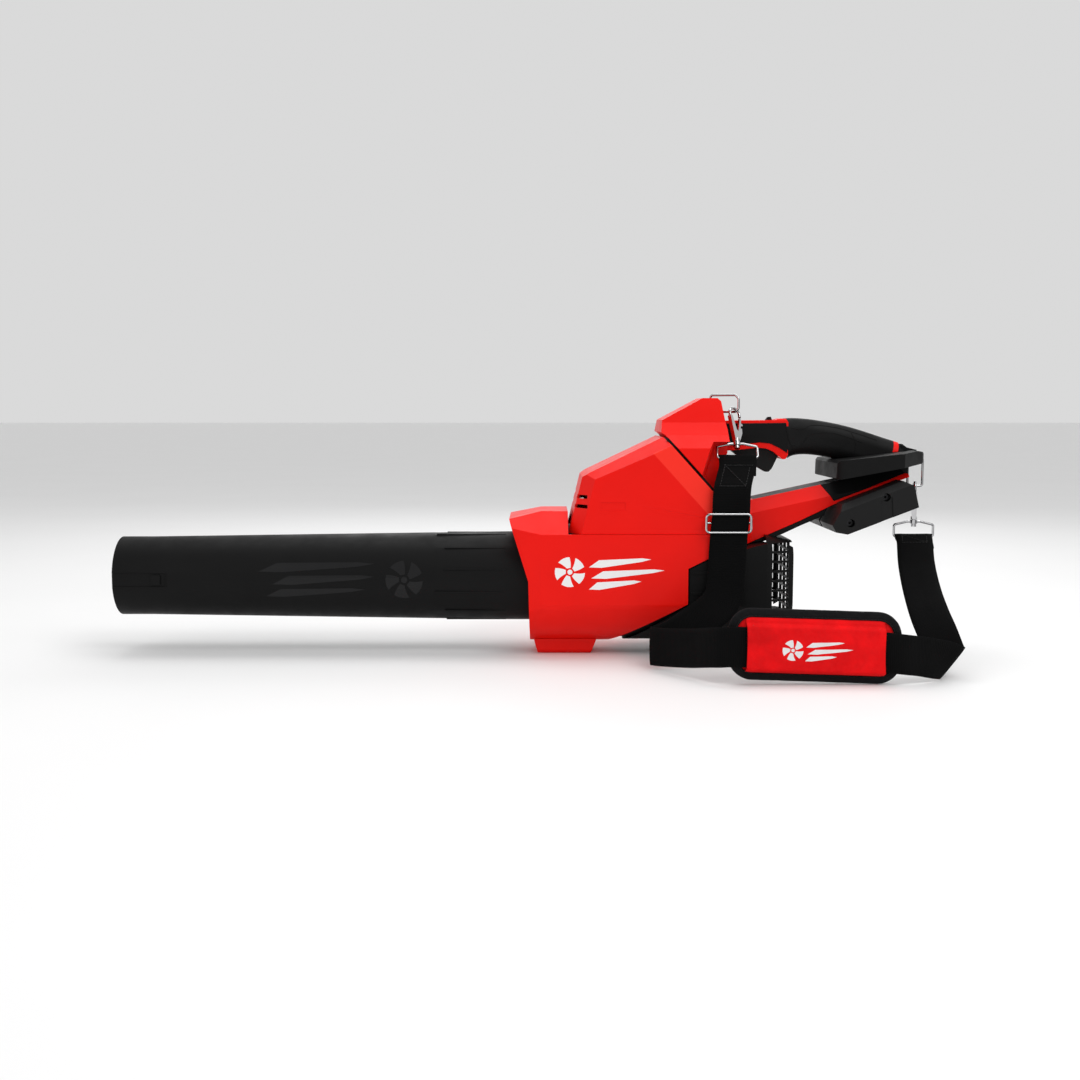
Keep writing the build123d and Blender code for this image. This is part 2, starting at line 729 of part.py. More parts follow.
# ---------------------------------------------------------------- handle
handle_outline = [
    (198.0, 302.0), (271.0, 302.8), (279.0, 304.8), (286.0, 304.8), (289.0, 300.0), (289.0, 258.0),
    (286.0, 252.6),
    (282.0, 252.4), (277.0, 256.5), (270.0, 262.3), (261.0, 266.3), (250.0, 267.4), (225.0, 264.6),
    (198.0, 262.5),
]
panel_outline = [
    (204.0, 298.4), (286.0, 299.2), (288.4, 280.0), (288.0, 260.5), (278.0, 266.8), (266.0, 272.6),
    (252.0, 274.2), (226.0, 271.0), (204.0, 269.5),
]
grip_sections = [
    ((275.5, 303.5), (291.5, 253.6), 37), ((292.0, 305.4), (298.5, 257.0), 37.6),
    ((313.0, 304.6), (313.0, 258.4), 38),
    ((337.0, 301.3), (332.0, 256.6), 38), ((360.0, 296.6), (352.5, 252.6), 38),
    ((384.0, 290.0), (375.0, 246.0), 38),
    ((408.0, 282.3), (398.0, 240.0), 37), ((428.0, 275.9), (417.5, 237.0), 36),
]


def grip_loft(sections, inset):
    """Rounded bar lofted through (top point, bottom point, width) sections on the centre plane."""
    with BuildPart() as bar:
        for (top_x, top_z), (low_x, low_z), width in sections:
            rise = Vector(top_x - low_x, 0, top_z - low_z)
            middle = ((top_x + low_x) / 2, 0, (top_z + low_z) / 2)
            height = rise.length
            plane = Plane(origin=middle, x_dir=(0, 1, 0), z_dir=Vector(0, 1, 0).cross(rise))
            with BuildSketch(plane):
                RectangleRounded(width - 2 * inset, height - 2 * inset, 15.5 - inset)
        loft()
    return bar.part


below_bumper = [(300.0, 200.0), (300.0, 247.0), (346.0, 252.4), (449.0, 264.1), (480.0, 256.0),
                (480.0, 200.0)]
tongue_inset = 4.0
core_half = handle_half - 3.8
with BuildPart() as panel_recess:
    add(side_prism(panel_outline, 60))
    add(block((190, -core_half, 240), (300, core_half, 310)), mode=Mode.SUBTRACT)
with BuildPart() as handle_core:
    add(side_prism(handle_outline, handle_half - 1.2))
    fillet(handle_core.edges().filter_by(Axis.X, tolerance=4).group_by(Axis.Z)[-1], radius=3)
    add(grip_loft(grip_sections, tongue_inset))
    add(side_prism(below_bumper, 60), mode=Mode.SUBTRACT)
    add(head_block(0), mode=Mode.SUBTRACT)
    add(panel_recess.part, mode=Mode.SUBTRACT)
    # pocket for the switch and the trigger, open underneath
    slot = trigger_half + trigger_gap
    add(block((214, -slot, 240), (281, slot, 283)), mode=Mode.SUBTRACT)
    add(block((225, -slot, 282), (273, slot, 298.5)), mode=Mode.SUBTRACT)
    # slot for the lever on top
    add(block((256, -3.3, 290), (275, 3.3, 310)), mode=Mode.SUBTRACT)
save_halves(handle_core.part, "handle_core")

with BuildPart() as handle_panel:
    add(side_prism(panel_outline, handle_half))
    add(block((190, -core_half, 240), (300, core_half, 310)), mode=Mode.SUBTRACT)
    add(head_block(0), mode=Mode.SUBTRACT)
save_halves(handle_panel.part, "handle_panel")

with BuildPart() as grip_overmould:
    add(grip_loft(grip_sections, 0))
    add(grip_loft(grip_sections, tongue_inset), mode=Mode.SUBTRACT)
    add(side_prism(below_bumper, 60), mode=Mode.SUBTRACT)
    add(side_prism(handle_outline, handle_half - 1.2), mode=Mode.SUBTRACT)
    add(handle_panel.part, mode=Mode.SUBTRACT)
save(grip_overmould, "grip_overmould")

band_sections = [grip_sections[-1], ((434.5, 274.0), (425.0, 235.4), 36)]
cap_sections = [((434.7, 272.6), (425.2, 235.4), 34), ((444.0, 268.2), (436.0, 232.5), 32)]
for name, sections in (("handle_band", band_sections), ("handle_end_cap", cap_sections)):
    with BuildPart() as collar:
        add(grip_loft(sections, 0))
        if name == "handle_end_cap":
            add(side_prism([(438.0, 272.0), (444.0, 267.6), (457.0, 264.4), (452.0, 250.0),
                            (436.0, 250.0)], 13))
        add(side_prism(below_bumper, 60), mode=Mode.SUBTRACT)
        add(rear_bumper.part, mode=Mode.SUBTRACT)
    save(collar, name)

# ---------------------------------------------------------------- controls
trigger_pivot = (222.0, 0.0, 273.0)
trigger_outline = [
    (218.0, 276.0), (225.0, 278.0), (262.0, 274.0), (275.0, 268.0), (277.5, 255.0), (270.3, 239.6),
    (266.5, 235.6),
    (262.0, 235.6), (226.0, 256.0), (217.5, 263.0),
]
with BuildPart() as trigger:
    add(side_prism(trigger_outline, trigger_half))
    fillet(trigger.edges().filter_by(Axis.Y).group_by(Axis.Z)[0], radius=3)
    long_edges = trigger.faces().filter_by(Axis.Y).edges()
    chamfer(long_edges.group_by(Axis.Z)[0], length=0.8)
save(trigger, "trigger")

with BuildPart() as trigger_switch:
    add(block((228, -6.5, 284.0), (258, 6.5, 298.0)))
    add(block((240, -2.5, 280.4), (246, 2.5, 285.0)))
save(trigger_switch, "trigger_switch")

lever_pivot = (266.0, 0.0, 299.6)
with BuildPart() as cruise_lever:
    add(side_prism([(261.5, 302.6), (264.5, 306.8), (269.0, 307.2), (270.5, 303.0), (268.5, 297.0),
                    (263.5, 297.0)], 2.8))
save(cruise_lever, "cruise_lever")

# ---------------------------------------------------------------- battery receptacles
pack_slope = 0.3875
pack_outline = [
    (349.0, 198.2), (424.0, 227.3), (436.5, 221.4), (442.7, 194.5), (354.4, 160.3), (339.7, 162.8),
    (335.1, 171.6),
    (343.0, 185.1),
]
pack_half = body_half
pack_gap = 4.0
pack_middle = (pack_half + pack_gap) / 2


def rail_slot(half, low, high):
    """Slanted channel under a receptacle, between two depths above its underside."""
    start, end = 368.0, 470.0
    base = [(start, 165.6), (end, 165.6 + pack_slope * (end - start))]
    outline = [(x, z + low) for x, z in base] + [(x, z + high) for x, z in reversed(base)]
    return side_prism(outline, half)


channel = rail_slot(23, -20, 6) + rail_slot(28, 5.9, 13.5)
groove = [(394.5, 202.0), (409.0, 207.5), (412.0, 170.0), (396.5, 168.0)]
groove_depth = 1.4
wells = [(402.0, 207.0), (358.0, 174.5)]
well_depth = 12.0
with BuildPart() as finger_groove:
    add(side_prism(groove, pack_half + 5))
    inner_face = pack_half - groove_depth
    add(block((380, -inner_face, 150), (430, inner_face, 230)), mode=Mode.SUBTRACT)

for side, sign in (("left", -1), ("right", 1)):
    with BuildPart() as receptacle:
        add(side_prism(pack_outline, pack_half))
        with BuildSketch(Plane.YZ.offset(320)):
            with BuildLine():
                top = 188.0
                Polyline(
                    (sign * pack_gap, 60), (sign * pack_half, 60), (sign * pack_half, top - 9),
                    (sign * (pack_half - 9), top), (sign * pack_gap, top + 12), close=True,
                )
            make_face()
        extrude(amount=200, dir=(1, 0, pack_slope), mode=Mode.INTERSECT)
        add(arm_block(0, arm_outline), mode=Mode.SUBTRACT)
        add(channel.translate((0, sign * pack_middle, 0)), mode=Mode.SUBTRACT)
        # screw wells and the finger channel on the outer face
        outer_face = Plane(origin=(0, sign * pack_half, 0), x_dir=(1, 0, 0), z_dir=(0, sign, 0))
        for well_x, well_z in wells:
            with BuildSketch(outer_face):
                with Locations((well_x, -sign * well_z)):
                    Circle(5.2)
            extrude(amount=-well_depth, mode=Mode.SUBTRACT)
        add(finger_groove.part, mode=Mode.SUBTRACT)
    save(receptacle, f"battery_receptacle_{side}")

with BuildPart() as battery_terminals:
    for sign in (-1, 1):
        add(block((369.0, sign * pack_middle - 20, 167.5), (373.5, sign * pack_middle + 20, 178.0)))
        for blade in (-12, 0, 12):
            y = sign * pack_middle + blade
            add(block((373.5, y - 0.5, 170.5), (382.0, y + 0.5, 176.5)))
save(battery_terminals, "battery_terminals")

# ---------------------------------------------------------------- rings, hooks and strap loops
ring_turn = 37.7            # the front ring rests swung towards the strap, degrees
ring_length = 42.0
ring_dir = Vector(math.cos(math.radians(ring_turn)), -math.sin(math.radians(ring_turn)), 0)
ring_plane = Plane(origin=(ring_pin_x, 0, 0), x_dir=ring_dir, z_dir=ring_dir.cross(Vector(0, 0, 1)))
with BuildPart() as front_ring:
    bend = 4.6
    frame = [
        (0, ring_low_z), (ring_length - bend, ring_low_z), (ring_length, ring_low_z + bend),
        (ring_length, ring_high_z - bend), (ring_length - bend, ring_high_z), (0, ring_high_z),
    ]
    add(wire_loop(frame, wire_r, 4.0, ring_plane))
save(front_ring, "front_ring")

ring_drop_z = 217.0
with BuildPart() as rear_ring:
    front_x, rear_x = ring_bar_x
    frame = [(front_x, ring_drop_z), (rear_x, ring_drop_z), (rear_x, ring_bar_z), (front_x, ring_bar_z)]
    add(wire_loop(frame, wire_r, 3.0))
save(rear_ring, "rear_ring")

eye_top = 58.5              # from the rivet's foot to the wire at the top of the eye
eye_r = 8.2
eye_mid = eye_top - eye_r
bar_drop = 5.0              # ring wire hangs this far below the top of the eye
stem_r = 2.35
gate_pin = (5.6, 27.6)
loop_half = web_width / 2 + 2.2
loop_drop = 13.0


def hook_frame(bar_point, lean, twist):
    """Plane of a hook: origin at the rivet's foot, local y up the hook, local x across its flat body."""
    up = Vector(0, math.sin(math.radians(lean)), math.cos(math.radians(lean)))
    foot = Vector(*bar_point) - up * (eye_top - bar_drop)
    flat = Vector(1, 0, 0).rotate(Axis((0, 0, 0), tuple(up)), twist)
    return Plane(origin=foot, x_dir=flat, z_dir=flat.cross(up))


def disc_along(plane, radius, start, end):
    """Round bar along a hook's own axis."""
    with BuildPart() as bar:
        with BuildSketch(Plane(origin=plane.origin + plane.y_dir * start, z_dir=plane.y_dir)):
            Circle(radius)
        extrude(amount=end - start)
    return bar.part


def flat_piece(plane, points, half_thick):
    """Flat plate in a hook's plane."""
    with BuildPart() as plate:
        with BuildSketch(plane):
            with BuildLine():
                Polyline(*points, close=True)
            make_face()
        extrude(amount=half_thick, both=True)
    return plate.part


def hook_body(plane):
    """Snap hook without its gate: rivet, stem, neck, cast body with ears, and the claw."""
    with BuildPart() as hook:
        add(disc_along(plane, stem_r, 0, 14))
        add(disc_along(plane, 3.5, 0, 3.2))
        add(disc_along(plane, 4.3, 9.8, 13.2))
        cast = [(-3.8, 11), (3.8, 11), (8.4, 23), (8.4, 29.8), (3.0, 29.8), (2.4, 25), (-0.5, 25.5),
                (-6.4, 45.5),
                (-9.9, 45.5)]
        add(flat_piece(plane, cast, 2.9))
        ear_gap = [(2.2, 24.4), (10, 24.4), (10, 32), (2.2, 32)]
        add(flat_piece(plane, ear_gap, 1.75), mode=Mode.SUBTRACT)
        with BuildSketch(plane):
            with Locations(gate_pin):
                Circle(0.9)
        extrude(amount=2.9, both=True)
        with BuildLine(plane) as claw:
            rise = Line((-eye_r, 43), (-eye_r, eye_mid))
            over = ThreePointArc(rise @ 1, (0, eye_top), (eye_r, eye_mid))
            Line(over @ 1, (eye_r, eye_mid - 2.6))
        with BuildSketch(Plane(origin=claw.line @ 0, z_dir=claw.line % 0)):
            Circle(hook_wire_r)
        sweep(path=claw.line)
    return hook.part


def hook_gate(plane):
    """Sprung gate of a snap hook: knuckle, tongue and thumb tab."""
    with BuildPart() as gate:
        with BuildSketch(plane):
            with BuildLine():
                Polyline((4.4, 27.6), (6.9, 27.6), (8.3, 34), (11.6, 35.2), (11.8, 37.6), (8.8, 38.4),
                         (9.4, 46.2),
                         (7.0, 46.2), close=True)
            make_face()
            with Locations(gate_pin):
                Circle(2.3)
                Circle(0.98, mode=Mode.SUBTRACT)
        extrude(amount=1.5, both=True)
    return gate.part


def strap_loop(plane):
    """Wire loop for the webbing, with the collar that turns on the hook's stem."""
    flat = Plane(origin=plane.origin, x_dir=(1, 0, 0), z_dir=Vector(1, 0, 0).cross(plane.y_dir))
    corners = [(-loop_half, -loop_drop), (-loop_half, 2.5), (-8, 6.7), (8, 6.7), (loop_half, 2.5),
               (loop_half, -loop_drop)]
    with BuildPart() as loop:
        add(wire_loop(corners, wire_r, 3.0, flat))
        add(disc_along(plane, 4.8, 3.9, 9.1))
        add(disc_along(plane, stem_r + 0.08, 0, 20), mode=Mode.SUBTRACT)
    return loop.part


front_eye = (218.5, -22.0, ring_low_z)
rear_eye = ((ring_bar_x[0] + ring_bar_x[1]) / 2, 0.0, ring_drop_z)
hook_frames = {"front": hook_frame(front_eye, 30, 35), "rear": hook_frame(rear_eye, 0, 80)}
for place, plane in hook_frames.items():
    pieces = {
        f"{place}_hook": hook_body(plane), f"{place}_hook_gate": hook_gate(plane),
        f"{place}_strap_loop": strap_loop(plane),
    }
    for name, solid in pieces.items():
        with BuildPart() as piece:
            add(solid)
        save(piece, name)

# ---------------------------------------------------------------- strap slider
strap_y = -86.0
slider_z = 175.0
slider_x = 203.6
slider_half = 28.0
front_y = strap_y - 3.1
bar_y = strap_y + 3.2
with BuildPart() as middle_bar:
    add(tube_x(1.4, slider_x - slider_half, slider_x + slider_half, z=slider_z, y=bar_y))
    for end in (-1, 1):
        with BuildSketch(Plane.XZ.offset(-bar_y)):
            with Locations((slider_x + end * slider_half, slider_z)):
                Circle(1.4)
        extrude(amount=bar_y - front_y)
with BuildPart() as strap_slider:
    face = Plane(origin=(slider_x, front_y, slider_z), x_dir=(1, 0, 0), z_dir=(0, -1, 0))
    add(wire_loop([(-slider_half, -11.5), (slider_half, -11.5), (slider_half, 11.5),
                   (-slider_half, 11.5)], 1.5,
                  5.0, face))
    add(middle_bar.part)
save(strap_slider, "strap_slider")


# ---------------------------------------------------------------- webbing and shoulder pad
def ribbon(stations):
    """Flat webbing through (centre, width direction) stations, one straight span between each two."""
    centres = [Vector(*centre) for centre, _ in stations]
    with BuildPart() as band:
        for index, (centre, across) in enumerate(stations):
            before = centres[max(index - 1, 0)]
            after = centres[min(index + 1, len(centres) - 1)]
            with BuildSketch(Plane(origin=centres[index], x_dir=across, z_dir=after - before)):
                Rectangle(web_width, web_thick)
        loft(ruled=True)
    return band.part


sideways = (1, 0, 0)
upright = (0, 0, 1)
with BuildPart() as strap_front_upper:
    add(ribbon([
        ((217.5, -57.7, 250.8), sideways), ((212.0, -79.0, 216.0), sideways),
        ((207.0, strap_y, 200.0), sideways),
        ((202.5, strap_y, 130.0), sideways), ((200.0, -90.0, 102.0), sideways),
        ((198.0, -104.0, 76.0), sideways),
        ((197.0, -115.0, 52.0), sideways),
    ]))
save(strap_front_upper, "strap_front_upper")

pad_y = -228.0
pad_mid_z = 42.0
pad_x = (186.0, 385.0)
sleeve_x = (204.5, 364.0)
with BuildPart() as strap_front_lower:
    add(ribbon([
        ((222.0, -119.5, 25.0), upright), ((113.0, -124.0, 25.0), upright), ((105.5, -129.5, 25.2), upright),
    ]))
    add(ribbon([
        ((104.5, -132.0, 25.5), upright), ((112.0, -143.0, 26.0), upright), ((148.0, -190.0, 33.0), upright),
        ((171.0, pad_y - 0.5, 38.5), upright), ((sleeve_x[0], pad_y, 41.5), upright),
        ((sleeve_x[1], pad_y, 41.5), upright),
    ]))
save(strap_front_lower, "strap_front_lower")

with BuildPart() as strap_rear:
    add(ribbon([
        ((459.5, -2.0, 144.4), sideways), ((451.0, -44.0, 120.0), sideways),
        ((444.0, -95.0, 92.0), (1, 0, 0.1)),
        ((441.5, -145.0, 64.0), (0.93, 0, 0.37)), ((446.0, -176.0, 42.0), (0.8, 0, 0.6)),
        ((453.0, -190.0, 24.5), (0.62, 0, 0.78)),
    ]))
    add(ribbon([
        ((462.0, -197.0, 25.0), upright), ((430.0, -212.0, 27.5), upright),
        ((393.0, pad_y - 0.6, 36.0), upright),
        ((374.0, pad_y, 41.5), upright), ((sleeve_x[1] + 0.4, pad_y, 41.5), upright),
    ]))
save(strap_rear, "strap_rear")

pad_thick = 12.0
pad_height = 83.6
with BuildPart() as shoulder_pad:
    with BuildSketch(Plane.XZ.offset(-pad_y - web_thick / 2 - 0.4 - pad_thick)):
        with Locations(((pad_x[0] + pad_x[1]) / 2, pad_mid_z)):
            RectangleRounded(pad_x[1] - pad_x[0], pad_height, 26)
    extrude(amount=pad_thick)
save(shoulder_pad, "shoulder_pad")

with BuildPart() as pad_sleeve:
    with BuildSketch(Plane.XZ.offset(-pad_y + web_thick / 2 + 0.3)):
        with Locations(((sleeve_x[0] + sleeve_x[1]) / 2, pad_mid_z)):
            Rectangle(sleeve_x[1] - sleeve_x[0], 66)
    extrude(amount=2)
save(pad_sleeve, "pad_sleeve")

# ---------------------------------------------------------------- electronics and fasteners
with BuildPart() as control_board:
    add(block((70, -45, 196.0), (165, 45, 198.0)))
    add(block((80, -38, 184.0), (155, 38, 196.0)))
    for fin in range(9):
        x = 84 + fin * 8
        add(block((x, -34, 181.0), (x + 2, 34, 184.5)))
    for cap_y in (-26, 0, 26):
        with BuildSketch(Plane.XY.offset(198)):
            with Locations((95, cap_y)):
                Circle(8)
        extrude(amount=18)
save(control_board, "control_board")

with BuildPart() as power_leads:
    for lead_y in (-8, 8):
        with BuildLine() as route:
            run = FilletPolyline((206, lead_y, 180), (245, lead_y, 186), (285, lead_y, 193),
                                 (320, lead_y, 204),
                                 radius=40)
        with BuildSketch(Plane(origin=run @ 0, z_dir=run % 0)):
            Circle(3)
        sweep(path=route.line)
save(power_leads, "power_leads")

with BuildPart() as casing_screws:
    for x, half, z in body_screws + box_screws + head_screws:
        with BuildSketch(Plane.XZ.offset(-half)):
            with Locations((x, z)):
                Circle(screw_r)
                RegularPolygon(1.9, 6, mode=Mode.SUBTRACT)
        extrude(amount=screw_depth)
    for sign in (-1, 1):
        for well_x, well_z in wells:
            with BuildSketch(Plane.XZ.offset(-sign * (pack_half - well_depth))):
                with Locations((well_x, well_z)):
                    Circle(4.2)
                    RegularPolygon(1.9, 6, mode=Mode.SUBTRACT)
            extrude(amount=-sign * 3.5)
save(casing_screws, "casing_screws")
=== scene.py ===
import math

import bmesh
import bpy
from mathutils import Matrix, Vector, noise
from mathutils.bvhtree import BVHTree


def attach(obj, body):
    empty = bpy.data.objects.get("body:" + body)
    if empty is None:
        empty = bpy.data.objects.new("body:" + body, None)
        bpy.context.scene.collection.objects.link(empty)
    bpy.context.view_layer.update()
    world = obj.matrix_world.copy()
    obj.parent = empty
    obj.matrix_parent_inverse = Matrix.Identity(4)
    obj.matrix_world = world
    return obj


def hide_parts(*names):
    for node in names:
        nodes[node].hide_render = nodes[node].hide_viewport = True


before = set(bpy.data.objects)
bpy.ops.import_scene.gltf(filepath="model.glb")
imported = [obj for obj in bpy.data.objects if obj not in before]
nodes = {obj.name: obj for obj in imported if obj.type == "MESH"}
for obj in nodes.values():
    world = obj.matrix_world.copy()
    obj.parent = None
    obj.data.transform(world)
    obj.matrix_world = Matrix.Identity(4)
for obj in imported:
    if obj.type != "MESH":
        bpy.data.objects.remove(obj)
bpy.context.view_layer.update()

scene = bpy.context.scene
MM = 0.001
SIDES = (("left", -1), ("right", 1))    # the machine's two flanks, by the sign of Y


# ------------------------------------------------------------------ stage, camera, lights
def aim(obj, target):
    obj.rotation_mode = "QUATERNION"
    obj.rotation_quaternion = (Vector(target) - obj.location).to_track_quat("-Z", "Y")


VIEW_TARGET = Vector((-0.0316, 0.0, 0.1456))
VIEW_DISTANCE = 1.717
VIEW_ELEVATION = math.radians(5.7)
camera_data = bpy.data.cameras.new("camera")
camera_data.sensor_width = 36
camera_data.lens = 43.5
camera = bpy.data.objects.new("camera", camera_data)
scene.collection.objects.link(camera)
camera.location = VIEW_TARGET + VIEW_DISTANCE * Vector(
    (0, -math.cos(VIEW_ELEVATION), math.sin(VIEW_ELEVATION)))
aim(camera, VIEW_TARGET)
scene.camera = camera

scene.view_settings.view_transform = "Standard"
world = bpy.data.worlds.new("world")
scene.world = world
world.use_nodes = True
background = world.node_tree.nodes["Background"]
background.inputs["Color"].default_value = (1.0, 1.0, 1.0, 1)
background.inputs["Strength"].default_value = 0.7


def area_light(name, place, target, size, power):
    data = bpy.data.lights.new(name, "AREA")
    data.shape = "RECTANGLE"
    data.size, data.size_y = size
    data.energy = power
    light = bpy.data.objects.new(name, data)
    scene.collection.objects.link(light)
    light.location = place
    aim(light, target)


area_light("key", (0.9, -1.4, 1.8), (0.1, 0, 0.15), (1.2, 0.9), 15)
area_light("fill", (-1.5, -1.7, 0.9), (-0.2, 0, 0.15), (1.2, 1.0), 2.5)
area_light("top", (0.1, 0.2, 2.0), (0, 0, 0.1), (2.4, 1.0), 15)
area_light("back", (0.2, 1.8, 1.3), (0, 0, 0.15), (1.8, 0.8), 8)


# ------------------------------------------------------------------ materials
class Shader:
    """A principled material with helpers for procedural detail."""

    def __init__(self, name, colour, roughness, metallic=0.0, specular=0.5):
        self.material = bpy.data.materials.new(name)
        self.material.use_nodes = True
        self.tree = self.material.node_tree
        self.base = self.tree.nodes["Principled BSDF"]
        self.set("Base Color", (*colour, 1))
        self.set("Roughness", roughness)
        self.set("Metallic", metallic)
        self.set("Specular IOR Level", specular)
        self.colour = colour
        self.normal = None
        self.coords = self.add("ShaderNodeTexCoord").outputs["Object"]

    def set(self, socket, value):
        self.base.inputs[socket].default_value = value

    def add(self, kind, **settings):
        node = self.tree.nodes.new(kind)
        for key, value in settings.items():
            setattr(node, key, value)
        return node

    def link(self, source, target):
        self.tree.links.new(source, target)

    def stretched(self, scale):
        """The object's coordinates scaled along each axis."""
        node = self.add("ShaderNodeMapping")
        node.inputs["Scale"].default_value = scale
        self.link(self.coords, node.inputs["Vector"])
        return node.outputs[0]

    def noise(self, scale, detail=3.0, rough=0.55, coords=None):
        node = self.add("ShaderNodeTexNoise")
        node.inputs["Scale"].default_value = scale
        node.inputs["Detail"].default_value = detail
        node.inputs["Roughness"].default_value = rough
        self.link(coords or self.coords, node.inputs["Vector"])
        return node.outputs["Fac"]

    def ramp(self, source, low, high, start=0.35, end=0.65):
        node = self.add("ShaderNodeMapRange")
        for socket, value in zip(("From Min", "From Max", "To Min", "To Max"), (start, end, low, high)):
            node.inputs[socket].default_value = value
        self.link(source, node.inputs["Value"])
        return node.outputs["Result"]

    def math(self, operation, a, b):
        node = self.add("ShaderNodeMath", operation=operation)
        for socket, value in zip(node.inputs, (a, b)):
            if isinstance(value, (int, float)):
                socket.default_value = value
            else:
                self.link(value, socket)
        return node.outputs[0]

    def vary_colour(self, mask, other):
        """Blend the base colour towards another by a mask."""
        mix = self.add("ShaderNodeMix", data_type="RGBA")
        self.link(mask, mix.inputs["Factor"])
        target = self.base.inputs["Base Color"]
        if target.is_linked:
            self.link(target.links[0].from_socket, mix.inputs["A"])
        else:
            mix.inputs["A"].default_value = (*self.colour, 1)
        mix.inputs["B"].default_value = (*other, 1)
        self.link(mix.outputs["Result"], target)

    def roughen(self, mask):
        self.link(mask, self.base.inputs["Roughness"])

    def paint_dark_reflections(self):
        """Painted reflections for bright metal in a pale room: painted dark undersides and a painted dark
        band up each curve.
        """
        split = self.add("ShaderNodeSeparateXYZ")
        self.link(self.add("ShaderNodeTexCoord").outputs["Normal"], split.inputs[0])
        # painted shade: darker where the surface faces down
        self.vary_colour(self.ramp(split.outputs[2], 0.93, 0.0, -0.55, -0.1), (0.035, 0.035, 0.037))
        # painted reflection: a dark band across each curve
        slant = self.math("ADD", self.math("MULTIPLY", split.outputs[2], 0.8),
                          self.math("MULTIPLY", split.outputs[0], 0.6))
        band = self.math("ABSOLUTE", self.math("SUBTRACT", slant, 0.2), 0)
        self.vary_colour(self.ramp(band, 0.88, 0.0, 0.06, 0.2), (0.05, 0.05, 0.052))

    def bump(self, height, strength, distance):
        node = self.add("ShaderNodeBump")
        node.inputs["Strength"].default_value = strength
        node.inputs["Distance"].default_value = distance
        self.link(height, node.inputs["Height"])
        if self.normal:
            self.link(self.normal, node.inputs["Normal"])
        self.normal = node.outputs["Normal"]
        self.link(self.normal, self.base.inputs["Normal"])


def moulded(name, colour, low_rough, high_rough, grain=1500, depth=0.00006, strength=0.35, shade=0.8,
            specular=0.15, dust=0.0):
    """Moulded plastic: fine spark texture, slow tone drift, uneven gloss and, with dust, faint scuffs."""
    s = Shader(name, colour, low_rough, specular=specular)
    s.vary_colour(s.ramp(s.noise(9, 4), 0, 0.55), tuple(c * shade for c in colour))
    s.roughen(s.ramp(s.noise(38, 5), low_rough, high_rough))
    s.bump(s.noise(grain, 2), strength, depth)
    if dust:
        scuff = s.noise(130, 8, rough=0.5, coords=s.stretched((0.25, 1, 1)))
        s.vary_colour(s.ramp(scuff, 0, dust, 0.62, 0.74), tuple(min(1, c * 1.6 + 0.03) for c in colour))
    return s


def metal(name, colour, low_rough, high_rough, brush=None):
    s = Shader(name, colour, low_rough, metallic=1.0)
    s.vary_colour(s.ramp(s.noise(60, 4), 0, 0.5), tuple(c * 0.8 for c in colour))
    s.roughen(s.ramp(s.noise(240, 4), low_rough, high_rough))
    if brush:
        s.bump(s.noise(2200, 2, coords=s.stretched(brush)), 0.25, 0.00003)
    else:
        s.bump(s.noise(420, 3), 0.1, 0.00005)
    return s


def webbing_weave(name, colour):
    """Woven strap: cross ribs, warp lines, a painted highlight on the raised threads and a little fuzz, laid
    out along the strap's own map.
    """
    s = Shader(name, colour, 0.85, specular=0.05)
    s.set("Sheen Weight", 0.015)
    s.set("Sheen Roughness", 0.5)
    uv = s.add("ShaderNodeUVMap", uv_map="strap").outputs["UV"]
    split = s.add("ShaderNodeSeparateXYZ")
    s.link(uv, split.inputs[0])
    across, along = split.outputs[0], split.outputs[1]
    rib_pitch, warp_pitch = 0.0021, 0.0013
    rib = s.math("SINE", s.math("MULTIPLY", along, 2 * math.pi / rib_pitch), 0)
    warp_phase = s.math("MULTIPLY", across, 2 * math.pi / warp_pitch)
    warp = s.math("SINE", warp_phase, 0)
    rib_pair = s.math("MULTIPLY", along, 2 * math.pi / (2 * rib_pitch))
    twill = s.math("SINE", s.math("ADD", rib_pair, warp_phase), 0)
    height = s.math("ADD", rib, s.math("MULTIPLY", warp, 0.45))
    height = s.math("ADD", height, s.math("MULTIPLY", twill, 0.35))
    s.bump(height, 0.55, 0.00022)
    s.bump(s.noise(900, 3), 0.3, 0.0001)
    # painted highlight: the raised threads of the weave are brighter
    s.vary_colour(s.ramp(height, 0, 0.6, -1.2, 1.4), tuple(c * 2.3 for c in colour))
    s.vary_colour(s.ramp(s.noise(22, 4), 0, 0.4), tuple(c * 0.6 for c in colour))
    return s


def cloth(name, colour, cell, depth, thread_highlight=1.25, darker=0.72, sheen=0.2, slow=24):
    """Close plain-woven cloth with thread relief from two crossed waves, a painted highlight on the raised
    threads, and soft tone drift.
    """
    s = Shader(name, colour, 0.8, specular=0.1)
    s.set("Sheen Weight", sheen)
    split = s.add("ShaderNodeSeparateXYZ")
    s.link(s.coords, split.inputs[0])
    x = s.math("SINE", s.math("MULTIPLY", split.outputs[0], 2 * math.pi / cell), 0)
    z = s.math("SINE", s.math("MULTIPLY", split.outputs[2], 2 * math.pi / cell), 0)
    weave = s.math("MULTIPLY", x, z)
    s.bump(weave, 0.5, depth)
    s.bump(s.noise(160, 4), 0.25, 0.0006)
    # painted highlight: the raised threads are brighter
    s.vary_colour(s.ramp(weave, 0, 0.5, -1, 1), tuple(min(1, c * thread_highlight) for c in colour))
    s.vary_colour(s.ramp(s.noise(slow, 5), 0, 0.65), tuple(c * darker for c in colour))
    s.roughen(s.ramp(s.noise(300, 3), 0.7, 0.9))
    return s


